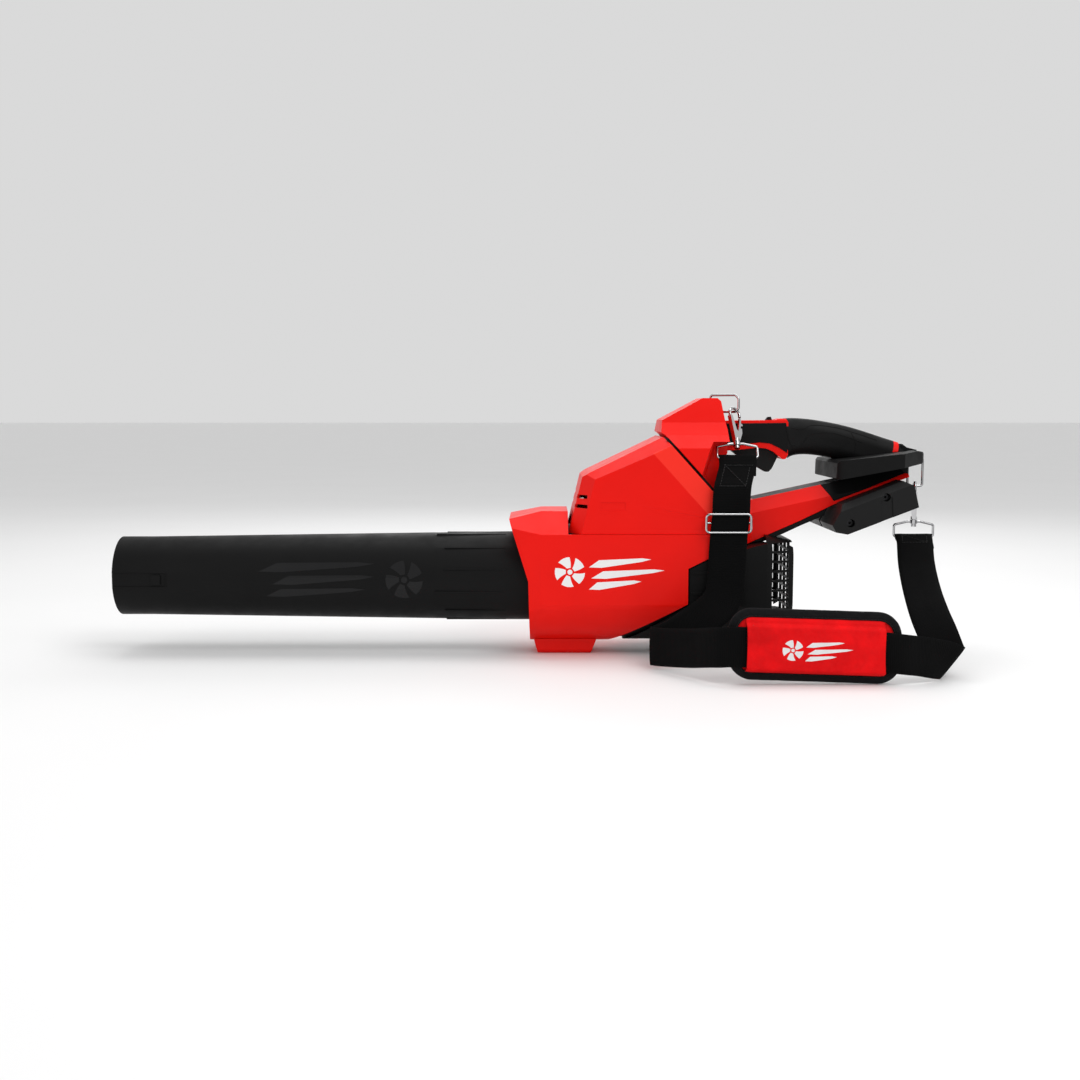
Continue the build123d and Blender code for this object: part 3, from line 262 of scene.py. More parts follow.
def air_mesh(name, colour):
    """Black spacer mesh on the pad: small open cells, with painted shade in their hollows."""
    s = Shader(name, colour, 0.85, specular=0.3)
    cells = s.add("ShaderNodeTexVoronoi", feature="DISTANCE_TO_EDGE")
    cells.inputs["Scale"].default_value = 620
    s.link(s.coords, cells.inputs["Vector"])
    s.bump(s.ramp(cells.outputs["Distance"], 1, 0, 0.0, 0.25), 0.6, 0.0004)
    # painted shade: darker in the sunken middle of each cell
    s.vary_colour(s.ramp(cells.outputs["Distance"], 0, 0.7, 0.05, 0.3), tuple(c * 0.35 for c in colour))
    s.vary_colour(s.ramp(s.noise(40, 3), 0, 0.4), tuple(c * 1.7 for c in colour))
    s.set("Sheen Weight", 0.15)
    return s


RED = (0.83, 0.0065, 0.0030)
JOINT_X, JOINT_Z = 0.156, 0.24675          # a point on the diagonal joint
ACROSS_X, ACROSS_Z = 0.741, 0.672          # the way across it, towards the head
FACET_WIDTH = 0.024
FACET_INNER_Y = 0.0745                     # only the flanks lie further out than this


def paint_facet_highlight(s):
    """Painted highlight on the sloping facet beside the diagonal joint, on the flanks only."""
    split = s.add("ShaderNodeSeparateXYZ")
    s.link(s.coords, split.inputs[0])
    along_x = s.math("MULTIPLY", s.math("SUBTRACT", split.outputs[0], JOINT_X), ACROSS_X)
    along_z = s.math("MULTIPLY", s.math("SUBTRACT", split.outputs[2], JOINT_Z), ACROSS_Z)
    band = s.ramp(s.math("ADD", along_x, along_z), 0, 1, -FACET_WIDTH - 0.0005, -FACET_WIDTH + 0.0005)
    flank = s.ramp(s.math("ABSOLUTE", split.outputs[1], 0), 0, 0.85, FACET_INNER_Y, FACET_INNER_Y + 0.0003)
    # the brighter red of the painted highlight
    s.vary_colour(s.math("MULTIPLY", band, flank), (0.93, 0.034, 0.020))


def casing_red(name):
    return moulded(name, RED, 0.30, 0.42, dust=0.03, shade=0.88, specular=0.12)


red = casing_red("casing_red")
box_red = casing_red("casing_red_box")
# painted highlight on the seam facet of the box's flanks
paint_facet_highlight(box_red)
nozzle_black = moulded("nozzle_black", (0.0055, 0.0055, 0.0056), 0.42, 0.55, grain=1100, depth=0.00009,
                       specular=0.10)
housing_black = moulded("housing_black", (0.0036, 0.0036, 0.0037), 0.42, 0.58, grain=1300, depth=0.00008,
                        specular=0.12)
slab_black = moulded("slab_black", (0.006, 0.006, 0.0061), 0.45, 0.6, grain=900, depth=0.00012, strength=0.5,
                     specular=0.10)
bay_black = moulded("bay_black", (0.0085, 0.0085, 0.0087), 0.42, 0.55, grain=1200, depth=0.0001,
                    specular=0.16)
grille_black = moulded("grille_black", (0.003, 0.003, 0.0031), 0.35, 0.5, specular=0.15)
fan_nylon = moulded("fan_nylon", (0.02, 0.02, 0.022), 0.4, 0.55)
grip_rubber = moulded("grip_rubber", (0.0045, 0.0045, 0.0046), 0.46, 0.62, grain=1900, depth=0.0001,
                      strength=0.5, specular=0.14)
trigger_black = moulded("trigger_black", (0.0042, 0.0042, 0.0043), 0.38, 0.52, specular=0.18)
gasket = moulded("gasket", (0.006, 0.006, 0.006), 0.7, 0.85)
board = moulded("board", (0.02, 0.1, 0.045), 0.4, 0.6)
lead_jacket = moulded("lead_jacket", (0.012, 0.012, 0.013), 0.45, 0.6)
chrome = metal("chrome", (0.62, 0.62, 0.63), 0.06, 0.16)
# painted reflections on the chrome: dark undersides and a dark band up each curve
chrome.paint_dark_reflections()
zinc = metal("zinc", (0.55, 0.55, 0.56), 0.25, 0.4)
screw_steel = metal("screw_steel", (0.035, 0.035, 0.037), 0.3, 0.45)
iron = metal("iron", (0.22, 0.22, 0.23), 0.4, 0.55, brush=(8, 1, 1))
alloy = metal("alloy", (0.6, 0.6, 0.62), 0.32, 0.45)


def terminal_block():
    """Black block with narrow upright contact blades."""
    s = Shader("copper", (0.008, 0.008, 0.0085), 0.45, specular=0.2)
    split = s.add("ShaderNodeSeparateXYZ")
    s.link(s.coords, split.inputs[0])
    blade_pitch = 0.009
    row = s.math("SINE", s.math("MULTIPLY", split.outputs[1], 2 * math.pi / blade_pitch), 0)
    blade = s.ramp(row, 0, 1, 0.78, 0.84)
    s.vary_colour(blade, (0.8, 0.42, 0.22))
    s.link(blade, s.base.inputs["Metallic"])
    s.roughen(s.ramp(s.noise(240, 4), 0.25, 0.5))
    s.bump(s.noise(900, 3), 0.2, 0.00005)
    return s


terminals = terminal_block()
web = webbing_weave("webbing", (0.0024, 0.0024, 0.0025))
pad_cloth = air_mesh("pad_fabric", (0.006, 0.006, 0.0065))
binding_cloth = cloth("pad_binding", (0.0045, 0.0045, 0.005), 0.0011, 0.00025, thread_highlight=2.2, sheen=0.04)
red_cloth = cloth("sleeve_fabric", (0.80, 0.0050, 0.0070), 0.00085, 0.00014, sheen=0.0, darker=0.62,
                  thread_highlight=1.15, slow=30)
thread_red = cloth("thread_red", (0.55, 0.012, 0.012), 0.0006, 0.0001)
thread_black = cloth("thread_black", (0.006, 0.006, 0.0062), 0.0006, 0.0001)
white_print = moulded("white_print", (0.86, 0.86, 0.86), 0.4, 0.5, shade=0.95)
white_thread = cloth("white_thread", (0.82, 0.82, 0.82), 0.0008, 0.00015, thread_highlight=1.1, darker=0.9)
gloss_black = moulded("gloss_black", (0.012, 0.012, 0.0125), 0.16, 0.24, depth=0.00002)

FINISH = {
    box_red: ("upper_shell_left", "upper_shell_right"),
    red: ("body_shell_left", "body_shell_right", "front_foot", "rear_foot", "head_shell_left",
          "head_shell_right", "arm_shell_left", "arm_shell_right", "handle_core_left",
          "handle_core_right", "handle_band"),
    nozzle_black: ("nozzle_tube", "nozzle_catches"),
    housing_black: ("outlet_duct", "fan_housing", "stator_vanes", "tail_cone", "intake_ring",
                    "arm_under_cover", "arm_end_post", "handle_panel_left", "handle_panel_right"),
    bay_black: ("battery_receptacle_left", "battery_receptacle_right"),
    slab_black: ("rear_bumper", "arm_top_cover", "handle_end_cap"),
    grille_black: ("intake_grille",),
    fan_nylon: ("impeller",),
    grip_rubber: ("grip_overmould",),
    gasket: ("joint_gasket",),
    trigger_black: ("trigger", "trigger_switch", "cruise_lever"),
    zinc: ("motor_shaft", "motor_bearings", "fan_nut"),
    screw_steel: ("casing_screws",),
    iron: ("motor_stator", "motor_rotor"),
    alloy: ("motor_end_bells",),
    chrome: ("front_ring", "rear_ring", "front_hook", "rear_hook", "front_hook_gate", "rear_hook_gate",
             "front_strap_loop", "rear_strap_loop", "strap_slider"),
    terminals: ("battery_terminals",),
    board: ("control_board",),
    lead_jacket: ("power_leads",),
}


WELD_REACH = 0.00002
FLAT_ANGLE = math.radians(0.6)
CREASE_ANGLE = math.radians(30)
ROUNDED_ANGLE = 28          # smallest turn that is rounded, in degrees
# the same on the casings with shallow facets
FACET_ANGLE = {"upper_shell_left": 4, "upper_shell_right": 4, "head_shell_left": 4, "head_shell_right": 4}


def soften(obj, width):
    """Round a hard node's sharp edges, or with no width only split them, and shade its curves smoothly."""
    weld = obj.modifiers.new("weld", "WELD")
    weld.merge_threshold = WELD_REACH
    if width:
        flat = obj.modifiers.new("flat", "DECIMATE")
        flat.decimate_type = "DISSOLVE"
        flat.angle_limit = FLAT_ANGLE
        bevel = obj.modifiers.new("edges", "BEVEL")
        bevel.width = width
        bevel.segments = 3
        bevel.limit_method = "ANGLE"
        bevel.angle_limit = math.radians(FACET_ANGLE.get(obj.name, ROUNDED_ANGLE))
        bevel.use_clamp_overlap = True
        bevel.harden_normals = False
        bevel.miter_outer = "MITER_ARC"
        weighted = obj.modifiers.new("weighted", "WEIGHTED_NORMAL")
        weighted.keep_sharp = True
    else:
        crease = obj.modifiers.new("crease", "EDGE_SPLIT")
        crease.split_angle = CREASE_ANGLE
    for polygon in obj.data.polygons:
        polygon.use_smooth = True


EDGE = {                    # rounding of the moulded edges, mm
    "body_shell_left": 1.3, "body_shell_right": 1.3, "upper_shell_left": 1.3, "upper_shell_right": 1.3,
    "head_shell_left": 1.5, "head_shell_right": 1.5, "arm_shell_left": 1.1, "arm_shell_right": 1.1,
    "front_foot": 1.2, "rear_foot": 1.2, "handle_core_left": 0.8, "handle_core_right": 0.8,
    "rear_bumper": 2.2, "arm_top_cover": 0.8, "arm_under_cover": 0.8, "fan_housing": 0.9,
    "battery_receptacle_left": 1.3, "battery_receptacle_right": 1.3, "handle_end_cap": 0.8,
    "handle_band": 0.5, "handle_panel_left": 0.6, "handle_panel_right": 0.6, "trigger": 1.2,
    "cruise_lever": 0.4,
    "arm_end_post": 0.8, "nozzle_catches": 0.3, "front_hook": 0.35, "rear_hook": 0.35,
    "front_hook_gate": 0.3, "rear_hook_gate": 0.3,
}
for shader, names in FINISH.items():
    for name in names:
        obj = nodes[name]
        obj.data.materials.clear()
        obj.data.materials.append(shader.material)
        soften(obj, EDGE.get(name, 0) * MM)


# ------------------------------------------------------------------ mesh helpers
def piece(name, mesh_data, shader, body, smooth=True):
    """New visible piece from (vertices, faces), with its material and body."""
    mesh = bpy.data.meshes.new(name)
    mesh.from_pydata([tuple(v) for v in mesh_data[0]], [], mesh_data[1])
    mesh.update()
    obj = bpy.data.objects.new(name, mesh)
    scene.collection.objects.link(obj)
    mesh.materials.append(shader.material)
    for polygon in mesh.polygons:
        polygon.use_smooth = smooth
    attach(obj, body)
    return obj


def tidy_normals(obj):
    work = bmesh.new()
    work.from_mesh(obj.data)
    bmesh.ops.recalc_face_normals(work, faces=work.faces)
    work.to_mesh(obj.data)
    work.free()


def spline(points, per_span):
    """Smooth curve through the points, with even steps in each span."""
    points = [Vector(p) for p in points]
    ends = [points[0] * 2 - points[1]] + points + [points[-1] * 2 - points[-2]]
    result = []
    for i in range(1, len(ends) - 2):
        p0, p1, p2, p3 = ends[i - 1:i + 3]
        knots = [0.0]
        for a, b in ((p0, p1), (p1, p2), (p2, p3)):
            knots.append(knots[-1] + max((b - a).length, 1e-9) ** 0.5)
        t0, t1, t2, t3 = knots
        for step in range(per_span):
            t = t1 + (t2 - t1) * step / per_span
            a1 = p0.lerp(p1, (t - t0) / (t1 - t0))
            a2 = p1.lerp(p2, (t - t1) / (t2 - t1))
            a3 = p2.lerp(p3, (t - t2) / (t3 - t2))
            b1 = a1.lerp(a2, (t - t0) / (t2 - t0))
            b2 = a2.lerp(a3, (t - t1) / (t3 - t1))
            result.append(b1.lerp(b2, (t - t1) / (t2 - t1)))
    result.append(points[-1])
    return result


def tube(points, radius, sides):
    """Round tube along points, with flat ends, as (vertices, faces)."""
    count = len(points)
    vertices, faces = [], []
    normal = None
    for i, point in enumerate(points):
        tangent = (points[min(i + 1, count - 1)] - points[max(i - 1, 0)]).normalized()
        if normal is None:
            normal = tangent.orthogonal().normalized()
        normal = (normal - tangent * normal.dot(tangent)).normalized()
        side = tangent.cross(normal)
        for j in range(sides):
            angle = 2 * math.pi * j / sides
            vertices.append(point + radius * (math.cos(angle) * normal + math.sin(angle) * side))
    for i in range(count - 1):
        for j in range(sides):
            a, b = i * sides + j, i * sides + (j + 1) % sides
            faces.append((a, b, b + sides, a + sides))
    faces.append(tuple(reversed(range(sides))))
    faces.append(tuple(range((count - 1) * sides, count * sides)))
    return vertices, faces


def merge(parts):
    vertices, faces = [], []
    for part_vertices, part_faces in parts:
        base = len(vertices)
        vertices += list(part_vertices)
        faces += [tuple(base + i for i in face) for face in part_faces]
    return vertices, faces


def ribbon(name, edges, thick, shader, body, per_span=10, across=8, curl=0.0):
    """Woven strap between two edge curves given in mm. Returns (object, flat length)."""
    left = spline([Vector(a) * MM for a, _ in edges], per_span)
    right = spline([Vector(b) * MM for _, b in edges], per_span)
    count = len(left)
    middle = [(a + b) / 2 for a, b in zip(left, right)]
    run = [0.0]
    for a, b in zip(middle, middle[1:]):
        run.append(run[-1] + (b - a).length)
    thick *= MM
    top, low = [], []
    for i in range(count):
        tangent = middle[min(i + 1, count - 1)] - middle[max(i - 1, 0)]
        normal = tangent.cross(right[i] - left[i]).normalized()
        for j in range(across + 1):
            share = j / across
            edge_thin = 0.62 + 0.38 * min(1.0, min(share, 1 - share) * across)
            cup = curl * MM * (1 - (2 * share - 1) ** 2)
            wave = 0.18 * MM * noise.noise(Vector((run[i] * 55, share * 2.0, len(name))))
            centre = left[i].lerp(right[i], share) + normal * (cup + wave)
            top.append(centre + normal * thick / 2 * edge_thin)
            low.append(centre - normal * thick / 2 * edge_thin)
    width = across + 1
    vertices = top + low
    offset = len(top)
    faces, maps = [], []

    def quad(corners, uvs):
        faces.append(corners)
        maps.append(uvs)

    strap_width = (right[0] - left[0]).length
    for i in range(count - 1):
        for j in range(across):
            a, b, c, d = i * width + j, i * width + j + 1, (i + 1) * width + j + 1, (i + 1) * width + j
            uv = [(strap_width * j / across, run[i]), (strap_width * (j + 1) / across, run[i]),
                  (strap_width * (j + 1) / across, run[i + 1]), (strap_width * j / across, run[i + 1])]
            quad((a, b, c, d), uv)
            quad((d + offset, c + offset, b + offset, a + offset), uv[::-1])
        for j in (0, across):
            a, d = i * width + j, (i + 1) * width + j
            u = strap_width * j / across
            corners = (a, d, d + offset, a + offset) if j == 0 else (d, a, a + offset, d + offset)
            uv = [(u, run[i]), (u, run[i + 1]), (u, run[i + 1]), (u, run[i])]
            quad(corners, uv if j == 0 else [uv[1], uv[0], uv[3], uv[2]])
    for i in (0, count - 1):
        for j in range(across):
            a, b = i * width + j, i * width + j + 1
            corners = (b, a, a + offset, b + offset) if i == 0 else (a, b, b + offset, a + offset)
            quad(corners, [(0.0, run[i])] * 4)
    obj = piece(name, (vertices, faces), shader, body)
    layer = obj.data.uv_layers.new(name="strap")
    flat = [uv for quad_uv in maps for uv in quad_uv]
    for loop, uv in zip(layer.data, flat):
        loop.uv = uv
    return obj, run[-1]


def stitches(name, line, normals, pitch, length, radius, shader, body):
    """Row of short thread stitches along a line, each sunk a little at its ends."""
    parts = []
    run = 0.0
    due = pitch / 2
    for (a, b), normal in zip(zip(line, line[1:]), normals):
        span = (b - a).length
        while run + span > due:
            start = a.lerp(b, (due - run) / span)
            direction = (b - a).normalized()
            points = [start - normal * radius * 0.6, start + direction * length * 0.3 + normal * radius * 0.5,
                      start + direction * length * 0.7 + normal * radius * 0.5,
                      start + direction * length - normal * radius * 0.6]
            parts.append(tube(points, radius, 6))
            due += pitch
        run += span
    return piece(name, merge(parts), shader, body)


# ------------------------------------------------------------------ webbing
HALF = 23.5                 # half the webbing's width, mm


def across_at(centre, way):
    """Both edges of the webbing at a centre, given the way its width runs."""
    centre, way = Vector(centre), Vector(way).normalized() * HALF
    return centre - way, centre + way


# each station: a place on the webbing's middle line in mm, and the way its width runs there
X_WAY, UP, DOWN = (1, 0, 0), (0, 0, 1), (0, 0, -1)
front_web = [across_at(*station) for station in (
    ((216.4, -69.0, 233.5), X_WAY), ((218.2, -58.0, 246.5), X_WAY), ((218.5, -53.1, 254.0), X_WAY),
    ((218.5, -52.5, 256.4), X_WAY), ((218.5, -54.0, 258.5), X_WAY), ((218.5, -56.4, 258.7), X_WAY),
    ((218.5, -58.1, 256.9), X_WAY), ((217.2, -64.6, 246.0), X_WAY), ((212.9, -74.6, 233.5), X_WAY),
    ((208.6, -84.4, 221.0), X_WAY), ((207.2, -86.3, 207.0), X_WAY), ((206.8, -86.3, 189.0), X_WAY),
    ((205.8, -86.2, 175.0), X_WAY), ((204.4, -86.3, 161.0), X_WAY), ((202.8, -86.6, 134.0), X_WAY),
    ((201.2, -89.5, 110.0), X_WAY), ((198.6, -95.0, 91.5), (1, -0.03, -0.12)),
    ((191.5, -102.0, 76.5), (0.86, -0.22, -0.46)),
    ((175.0, -110.0, 63.0), (0.47, -0.42, -0.77)), ((151.0, -117.0, 48.5), (0.2, -0.25, -0.95)),
    ((128.0, -123.5, 36.0), (0.03, -0.06, -1)), ((112.0, -128.0, 30.2), DOWN),
    ((105.6, -130.6, 29.0), DOWN), ((103.7, -134.2, 28.8), DOWN), ((106.2, -138.4, 29.0), DOWN),
    ((118.0, -152.5, 30.4), DOWN), ((146.0, -189.0, 36.0), DOWN), ((164.0, -215.0, 41.5), DOWN),
    ((176.0, -227.6, 44.0), DOWN), ((188.0, -230.0, 45.0), DOWN), ((206.0, -229.9, 44.6), DOWN),
    ((240.0, -229.9, 43.4), DOWN), ((284.0, -229.9, 42.0), DOWN),
)]
strap_a, length_a = ribbon("front_webbing", front_web, 2.2, web, "blower", curl=-0.5)
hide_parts("strap_front_upper", "strap_front_lower")

rear_web = [across_at(*station) for station in (
    ((456.6, -23.0, 137.2), X_WAY), ((458.9, -8.0, 144.6), X_WAY), ((459.25, 1.2, 148.2), X_WAY),
    ((459.25, 2.8, 150.4), X_WAY), ((459.25, 1.6, 152.7), X_WAY), ((459.25, -0.8, 153.2), X_WAY),
    ((459.0, -4.0, 151.9), X_WAY), ((456.8, -17.0, 143.4), X_WAY), ((450.6, -48.0, 120.5), (1, 0, 0.02)),
    ((444.6, -95.0, 93.0), (1, 0, 0.1)), ((442.4, -140.0, 67.0), (0.94, 0, 0.34)),
    ((446.0, -172.0, 43.5), (0.82, 0, 0.57)), ((450.6, -188.0, 26.5), (0.68, 0, 0.73)),
    ((452.6, -193.0, 20.8), (0.63, 0, 0.78)), ((453.0, -196.4, 20.0), (0.61, 0, 0.79)),
    ((450.6, -199.6, 20.8), (0.57, 0, 0.82)), ((442.0, -204.0, 24.2), (0.38, 0, 0.92)),
    ((428.0, -210.5, 27.6), (0.12, 0, 0.99)), ((406.0, -220.5, 32.6), UP),
    ((392.0, -227.2, 35.2), UP), ((380.0, -230.0, 37.0), UP), ((364.0, -229.9, 38.6), UP),
    ((330.0, -229.9, 40.2), UP), ((287.0, -229.9, 41.6), UP),
)]
strap_b, length_b = ribbon("rear_webbing", rear_web, 2.2, web, "blower", curl=-0.4)
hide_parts("strap_rear")


TACK_SIDES = (0.16, 0.84)   # where the box of thread starts and ends across the webbing
TACK_LIFT = 1.25            # thread above the webbing's middle, mm


def bar_tack(name, edges, first, last, lean):
    """Box of black thread with one diagonal over the folded end, on the outside of the webbing."""
    outward = Vector(lean).normalized()
    (top_left, top_right), (low_left, low_right) = [
        [edges[station][0].lerp(edges[station][1], side) for side in TACK_SIDES] for station in (first, last)]
    points = [top_left, top_right, low_right, low_left, top_left, low_right]
    line, normals = [], []
    for a, b in zip(points, points[1:]):
        for step in range(12):
            line.append((a.lerp(b, step / 12) + outward * TACK_LIFT) * MM)
            normals.append(outward)
    return stitches(name, line, normals[:-1], 0.0042, 0.0031, 0.00042, thread_black, "blower")


bar_tack("front_web_stitching", front_web, 7, 9, (0, -0.78, 0.62))
bar_tack("rear_web_stitching", rear_web, 6, 7, (0, -0.5, 0.86))

# ------------------------------------------------------------------ shoulder pad
PAD_MIDDLE = Vector((285.5, 0, 44.8))
PAD_HALF = (99.5, 41.2)     # half its length and height, mm
PAD_CORNER = 27.0           # corner radius
PAD_PLANE = -221.2          # Y of the pad's middle plane
PAD_TILT = -0.033           # drop per mm towards +X


def tilt(x, z):
    """Place of a pad point after the pad's small drop to the right."""
    return PAD_MIDDLE.x + x, PAD_MIDDLE.z + z + PAD_TILT * x


def untilt(x, z):
    """The pad point at a place: the other way round from tilt."""
    x -= PAD_MIDDLE.x
    return x, z - PAD_MIDDLE.z - PAD_TILT * x


def inset_of(x, z):
    """Distance inside the pad's rounded outline (negative outside)."""
    dx, dz = abs(x) - (PAD_HALF[0] - PAD_CORNER), abs(z) - (PAD_HALF[1] - PAD_CORNER)
    if dx > 0 and dz > 0:
        return PAD_CORNER - math.hypot(dx, dz)
    return min(PAD_HALF[0] - abs(x), PAD_HALF[1] - abs(z))


def smooth_step(value, low, high):
    t = min(1.0, max(0.0, (value - low) / (high - low)))
    return t * t * (3 - 2 * t)


def outline_at(count):
    """Evenly spread points and inward normals round the pad's outline, as (x, z) about its middle."""
    straight_x, straight_z = PAD_HALF[0] - PAD_CORNER, PAD_HALF[1] - PAD_CORNER
    arc = PAD_CORNER * math.pi / 2
    sides = [2 * straight_x, arc, 2 * straight_z, arc] * 2
    total = sum(sides)
    result = []
    for i in range(count):
        run, side = total * i / count, 0
        while run > sides[side]:
            run -= sides[side]
            side += 1
        quarter, turn = divmod(side, 2)
        angle = math.pi / 2 * (1 - quarter)
        corner = [(1, 1), (1, -1), (-1, -1), (-1, 1)][quarter]
        hub = Vector((corner[0] * straight_x, corner[1] * straight_z))
        if turn:
            a = angle - run / PAD_CORNER
            outward = Vector((math.cos(a), math.sin(a)))
            result.append((hub + outward * PAD_CORNER, -outward))
        else:
            outward = Vector((math.cos(angle), math.sin(angle)))
            along = Vector((outward.y, -outward.x))
            result.append((hub + outward * PAD_CORNER - along * (sides[side] - run), -outward))
    return result


def pad_half_thick(inset):
    return 2.0 + 3.4 * smooth_step(inset, 0, 15)


def pad_mesh(shrink):
    """Closed pillow on the pad's plane: rings from the outline inwards, front and back."""
    ring = outline_at(168)
    insets = [0.4, 2, 4.5, 8, 12, 17, 23, 30, 35]
    vertices, faces = [], []
    for sign in (-1, 1):
        for inset in insets:
            for point, inward in ring:
                p = point + inward * inset
                x, z = tilt(p.x, p.y)
                y = PAD_PLANE + sign * (pad_half_thick(inset) - shrink)
                vertices.append(Vector((x, y, z)) * MM)
    count, rows = len(ring), len(insets)

    def at(side, row, i):
        return (side * rows + row) * count + i % count

    for side in (0, 1):
        for row in range(rows - 1):
            for i in range(count):
                quad = (at(side, row, i), at(side, row, i + 1),
                        at(side, row + 1, i + 1), at(side, row + 1, i))
                faces.append(quad if side else quad[::-1])
        cap = tuple(at(side, rows - 1, i) for i in range(count))
        faces.append(cap if side else cap[::-1])
    for i in range(count):
        faces.append((at(0, 0, i), at(0, 0, i + 1), at(1, 0, i + 1), at(1, 0, i)))
    return vertices, faces


VOXEL = 0.0034              # grid of the pad's even mesh, m
SWELL_FRAMES = 20


def puff(obj, cap, free_from, free_to):
    """Inflate a closed mesh as cloth, and keep the swelling, up to a cap, away from the outline."""
    remesh = obj.modifiers.new("remesh", "REMESH")
    remesh.mode = "VOXEL"
    remesh.voxel_size = VOXEL
    apply_modifiers(obj)
    rest = [v.co.copy() for v in obj.data.vertices]
    sim = obj.modifiers.new("cloth", "CLOTH")
    settings = sim.settings
    settings.use_pressure = True
    settings.uniform_pressure_force = 4
    settings.quality = 6
    settings.tension_stiffness = 12
    settings.compression_stiffness = 12
    settings.bending_stiffness = 0.6
    settings.effector_weights.gravity = 0
    sim.point_cache.frame_end = SWELL_FRAMES
    for number in range(1, SWELL_FRAMES + 1):
        scene.frame_set(number)
    evaluated = obj.evaluated_get(bpy.context.evaluated_depsgraph_get())
    swollen = [v.co.copy() for v in evaluated.data.vertices]
    obj.modifiers.remove(sim)
    scene.frame_set(1)
    for vertex, before, after in zip(obj.data.vertices, rest, swollen):
        move = after - before
        weight = smooth_step(inset_of(*untilt(before.x / MM, before.z / MM)), free_from, free_to)
        if move.length > cap:
            move = move.normalized() * cap
        vertex.co = before + move * weight


def apply_modifiers(obj):
    evaluated = obj.evaluated_get(bpy.context.evaluated_depsgraph_get())
    mesh = bpy.data.meshes.new_from_object(evaluated)
    obj.modifiers.clear()
    obj.data = mesh


pad = piece("shoulder_pad_cloth", pad_mesh(0.6), pad_cloth, "blower")
tidy_normals(pad)
puff(pad, 0.0016, 9, 22)
pad.data.materials.clear()
pad.data.materials.append(pad_cloth.material)
pad.data.materials.append(red_cloth.material)
relax = pad.modifiers.new("relax", "SMOOTH")
relax.iterations = 3
apply_modifiers(pad)
for vertex in pad.data.vertices:
    x, z = vertex.co.x / MM, vertex.co.z / MM
    share = smooth_step(inset_of(*untilt(x, z)), 6, 18)
    vertex.co.y += 0.0005 * share * noise.noise(Vector((x * 0.05, z * 0.06, 3.0)))
front_limit = (PAD_PLANE - 0.2) * MM
for polygon in pad.data.polygons:
    polygon.use_smooth = True
    polygon.material_index = 1 if polygon.center.y < front_limit else 0
round_up = pad.modifiers.new("round", "SUBSURF")
round_up.levels = round_up.render_levels = 1
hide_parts("shoulder_pad")

# binding tape folded over the pad's edge: how far in each line of it lies, and on which side
BINDING_SEAM = 7.6          # the stitching's distance in from the outline
ring = outline_at(260)
profile = [(9.2, -1), (8.9, -1), (5.0, -1), (2.0, -1), (0.3, -0.82), (-0.7, -0.35), (-0.9, 0), (-0.7, 0.35),
           (0.3, 0.82), (2.0, 1), (5.0, 1), (8.9, 1), (9.2, 1)]
binding_vertices, binding_faces = [], []
for point, inward in ring:
    for step, (inset, side) in enumerate(profile):
        ripple = 0.16 * noise.noise(Vector((point.x * 0.11, point.y * 0.11, inset * 0.2)))
        p = point + inward * (inset + ripple)
        x, z = tilt(p.x, p.y)
        lift = 1.3 if 0 < step < len(profile) - 1 else -0.5
        y = PAD_PLANE + side * (pad_half_thick(max(inset, 0)) + lift + ripple)
        binding_vertices.append(Vector((x, y, z)) * MM)
width = len(profile)
for i in range(len(ring)):
    for j in range(width - 1):
        a, b = i * width + j, i * width + j + 1
        c, d = ((i + 1) % len(ring)) * width + j + 1, ((i + 1) % len(ring)) * width + j
        binding_faces.append((a, b, c, d))
binding = piece("pad_binding", (binding_vertices, binding_faces), binding_cloth, "blower")
tidy_normals(binding)
thick = binding.modifiers.new("tape", "SOLIDIFY")
thick.thickness = 0.0006
thick.offset = -1
apply_modifiers(binding)
for polygon in binding.data.polygons:
    polygon.use_smooth = True

stitch_line, stitch_normals = [], []
for point, inward in ring + ring[:1]:
    p = point + inward * BINDING_SEAM
    x, z = tilt(p.x, p.y)
    stitch_line.append(Vector((x, PAD_PLANE - pad_half_thick(BINDING_SEAM) - 1.33, z)) * MM)
    stitch_normals.append(Vector((0, -1, 0)))
stitches("binding_stitching", stitch_line, stitch_normals[:-1], 0.0036, 0.0026, 0.0003, thread_black,
         "blower")

# red sleeve that the webbing runs through
SLEEVE_X = (-80.6, 79.4)    # its ends, from the pad's middle, mm
SLEEVE_HALF = 32.6          # half its height
WEB_LIFT = 6.0              # how far the webbing raises it
WEB_Z = -3.0                # the webbing's middle line, from the pad's


def sleeve_y(x, z):
    """Outer face of the sleeve: raised over the webbing, drawn down at its sewn edges, lightly creased."""
    over_web = 1 - smooth_step(abs(z - WEB_Z), 24.0, 29.0)
    mouth = smooth_step(abs(x), 66, 80)
    crease = 0.9 * noise.noise(Vector((x * 0.028, z * 0.05, 5.0))) + 0.6 * noise.noise(
        Vector((x * 0.09 + z * 0.05, z * 0.04, 9.0)))
    pull = 0.5 * math.sin(x * 0.12 + z * 0.06) * smooth_step(abs(z), 12, 30) * 0.6
    free = smooth_step(SLEEVE_HALF - abs(z), 0, 7)
    inset = inset_of(x, z)
    face = pad_half_thick(max(inset, 0)) - 0.35 + 1.45 * smooth_step(inset, 9.2, 12.5)
    raised = WEB_LIFT * over_web + 0.9 * mouth * over_web
    return PAD_PLANE - face - raised - (crease + pull) * free * 0.8 - 0.35 * free


